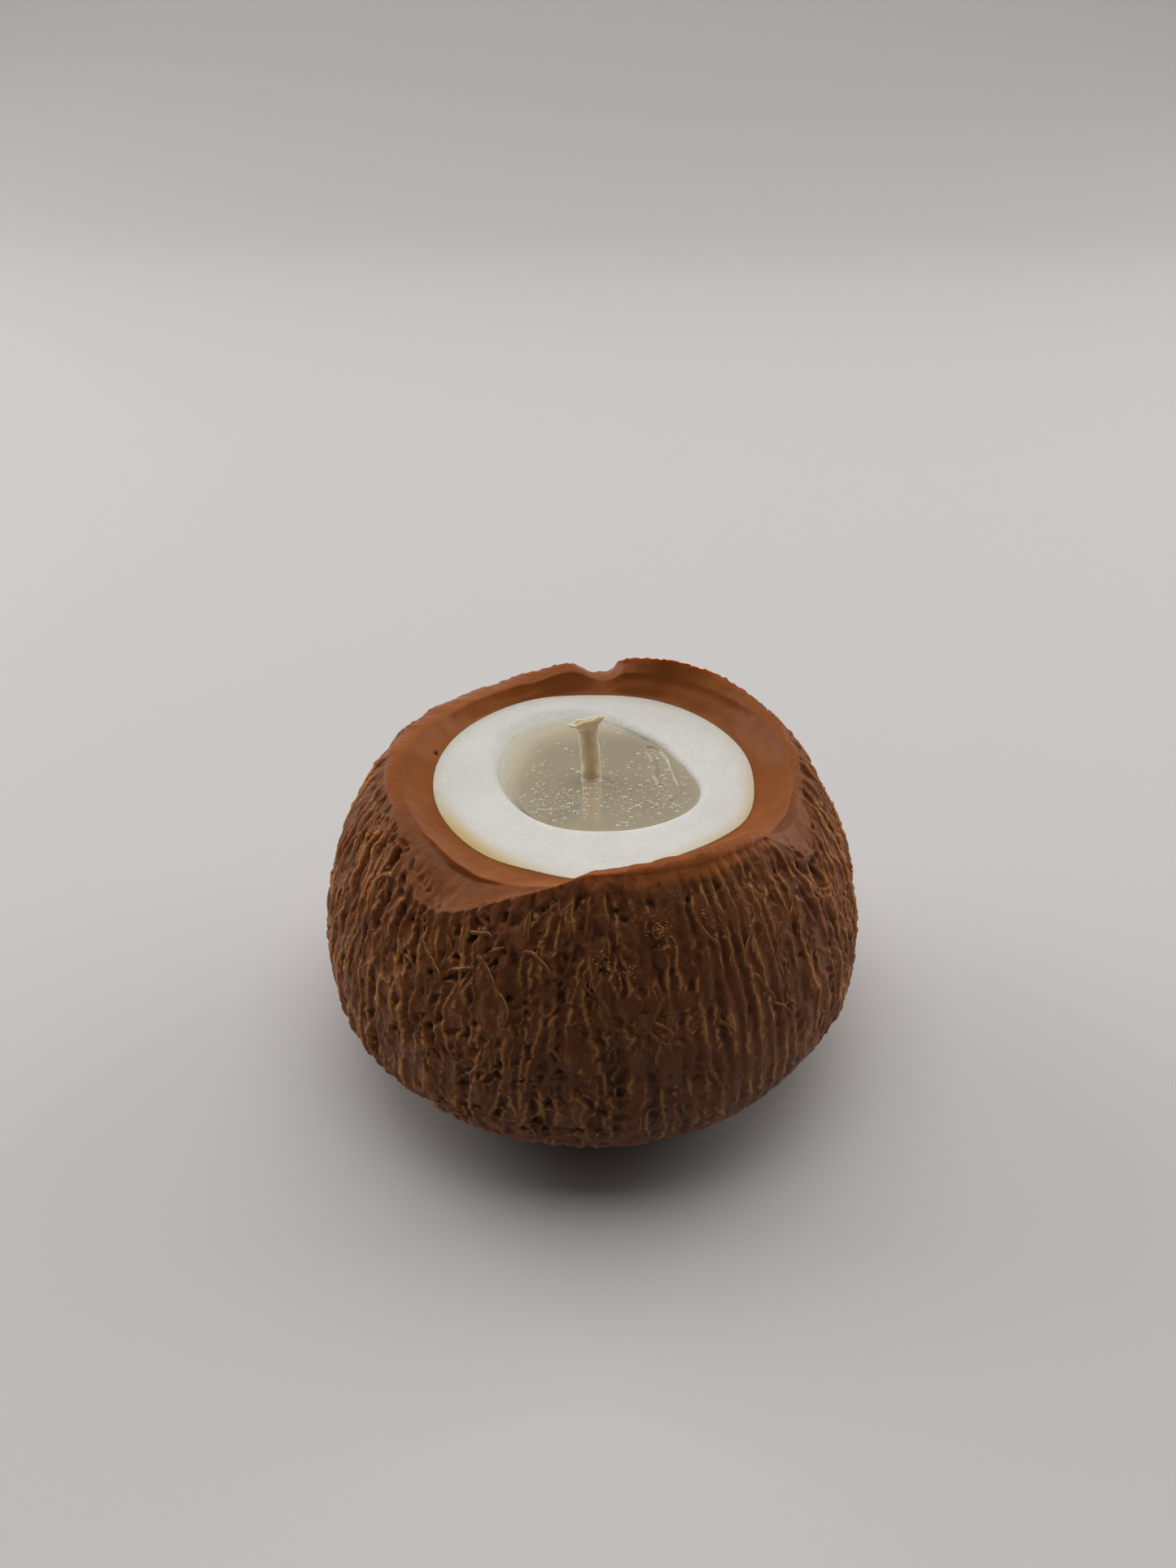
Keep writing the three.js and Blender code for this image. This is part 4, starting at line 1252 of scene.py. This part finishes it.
def wick_centre(z):
    above = np.maximum(0, (z - GEL_Z) / (WICK_TOP_Z - GEL_Z))
    return WICK_FOOT[0] - WICK_LEAN * above ** WICK_BEND


def make_wick(material):
    turn = np.arange(WICK_SIDES) / WICK_SIDES * 2 * math.pi
    bottom = HOLLOW_FLOOR_Z + GAP + TAB_THICKNESS
    heights = [*np.linspace(bottom, GEL_Z - 3, 10), *np.linspace(GEL_Z - 2.7, WICK_TOP_Z, WICK_ROWS)]
    # The cut end is torn: it stands lower on its left and has small notches.
    torn = TORN_SLANT * (1 - np.cos(turn))
    for depth, pitch, number in NOTCHES:
        torn = torn + depth * lattice(np.floor(turn * pitch), number)
    middle = np.exp(-(np.cos(turn) / 0.38) ** 2)
    wick = Rings("frayed", "core")
    for z in heights:
        to_top = np.clip((z - WICK_TOP_Z + WICK_FLARE_LENGTH) / WICK_FLARE_LENGTH, 0, 1)
        half_width = WICK_HALF_WIDTH * mix(1, WICK_FLARE, to_top ** 1.5)
        half_thickness = WICK_HALF_THICKNESS * mix(1, 0.5, smooth(WICK_TOP_Z - FRAY_LENGTH, WICK_TOP_Z, z))
        braid = 0.05 * np.sin(3 * turn + z * 2.2) + 0.04 * np.sin(5 * turn - z * 1.7)
        drip = 0.10 * noise(turn / (2 * math.pi) * AROUND, z, AROUND / 6, 1.6, 51)
        grow = braid + drip
        fray = smooth(WICK_TOP_Z - FRAY_LENGTH, WICK_TOP_Z - 0.6, z)
        ring = np.stack([wick_centre(z) + (half_width + grow) * np.cos(turn),
                         WICK_FOOT[1] + (half_thickness + grow) * np.sin(turn),
                         z - torn * smooth(WICK_TOP_Z - 3, WICK_TOP_Z, z)], -1)
        wick.add(ring, frayed=fray, core=middle * (1 - fray) * 0.75 * (0.7 + 0.3 * np.sin(z * 0.9)))
    end = wick.rings[-1]
    for share, down in END_CUP:
        ring = mix(end.mean(0), end, share)
        ring[:, 2] -= down
        wick.add(ring, frayed=0.6, core=0.3 * (1 - share))
    return wick.body("wick_braid", material)


# ---- Build the candle ----

brown = brown_wax()
husk_lower, husk_middle, husk_body = make_cup(brown)
for band in (husk_lower, husk_middle, husk_body):
    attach(band, "root")
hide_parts("husk_shell")

strings = make_strings(fibre_wax())
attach(strings, "root")

white = make_white_wax(white_wax())
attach(white, "root")
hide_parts("white_wax")

gel = make_gel(clear_gel())
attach(gel, "root")
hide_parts("gel_wax")

foam = make_bubbles(bubble_painted_reflection())
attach(foam, "root")

wick = make_wick(waxed_cotton())
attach(wick, "root")
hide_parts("wick")

steel = brushed_steel()
for material_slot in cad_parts["wick_tab"].material_slots:
    material_slot.material = steel

# ---- Floor, light and camera ----

FLOOR_HALF_WIDTH = 1600
FLOOR_FRONT_Y = -1200
BEND_Y = 700  # where the floor starts to curve up into a backdrop
BEND_RADIUS = 500
BEND_STEPS = 24
BACKDROP_HEIGHT = 1500
# Soft lights as (name, place in metres, width and height, power, colour), all aimed at the candle.
SOFTBOXES = [
    ("softbox_top", (0.0, 0.20, 0.95), (1.1, 1.0), 8.1, (1.0, 0.985, 0.965)),
    ("softbox_left", (-0.9, 0.45, 0.45), (0.8, 0.8), 5.8, (1.0, 0.98, 0.95)),
    ("softbox_right", (0.9, 0.45, 0.45), (0.8, 0.8), 4.6, (1.0, 0.98, 0.95)),
]
LIGHTS_AIM = Vector((0, 0, 0.03))
WORLD_COLOUR = (0.8, 0.79, 0.78, 1)
WORLD_STRENGTH = 0.03


def make_floor(material):
    """A pale floor that curves up into a backdrop."""
    rows = [(FLOOR_FRONT_Y, 0), (BEND_Y, 0)]
    for k in range(1, BEND_STEPS + 1):
        turn = k / BEND_STEPS * math.pi / 2
        rows.append((BEND_Y + BEND_RADIUS * math.sin(turn), BEND_RADIUS * (1 - math.cos(turn))))
    rows.append((BEND_Y + BEND_RADIUS, BEND_RADIUS + BACKDROP_HEIGHT))
    points = [(side * FLOOR_HALF_WIDTH, y, z) for y, z in rows for side in (-1, 1)]
    faces = [[2 * k, 2 * k + 1, 2 * k + 3, 2 * k + 2] for k in range(len(rows) - 1)]
    return make_object("studio_floor", points, faces, material, clipped=False)


floor = make_floor(studio_paper())

for name, place, size, power, colour in SOFTBOXES:
    lamp = bpy.data.lights.new(name, "AREA")
    lamp.energy = power
    lamp.color = colour
    lamp.shape = "RECTANGLE"
    lamp.size, lamp.size_y = size
    light = bpy.data.objects.new(name, lamp)
    light.location = place
    light.rotation_euler = (LIGHTS_AIM - Vector(place)).to_track_quat("-Z", "Y").to_euler()
    bpy.context.scene.collection.objects.link(light)

world = bpy.data.worlds.new("studio")
world.use_nodes = True
background = world.node_tree.nodes["Background"]
background.inputs["Color"].default_value = WORLD_COLOUR
background.inputs["Strength"].default_value = WORLD_STRENGTH
bpy.context.scene.world = world

PITCH = math.radians(35)
AIM = Vector((-0.8, 0, 50.2)) * MM
DISTANCE = 195.6 * MM
SENSOR_HEIGHT = 36
FOCAL_SHARE = 1475 / 1927  # focal length over the picture's height, both in pixels

camera_data = bpy.data.cameras.new("camera")
camera_data.sensor_fit = "VERTICAL"
camera_data.sensor_height = SENSOR_HEIGHT
camera_data.lens = SENSOR_HEIGHT * FOCAL_SHARE
camera_data.clip_start = 0.01
camera = bpy.data.objects.new("camera", camera_data)
camera.location = AIM + DISTANCE * Vector((0, -math.cos(PITCH), math.sin(PITCH)))
camera.rotation_euler = (math.pi / 2 - PITCH, 0, 0)
bpy.context.scene.collection.objects.link(camera)
bpy.context.scene.camera = camera
bpy.context.scene.view_settings.view_transform = "Standard"
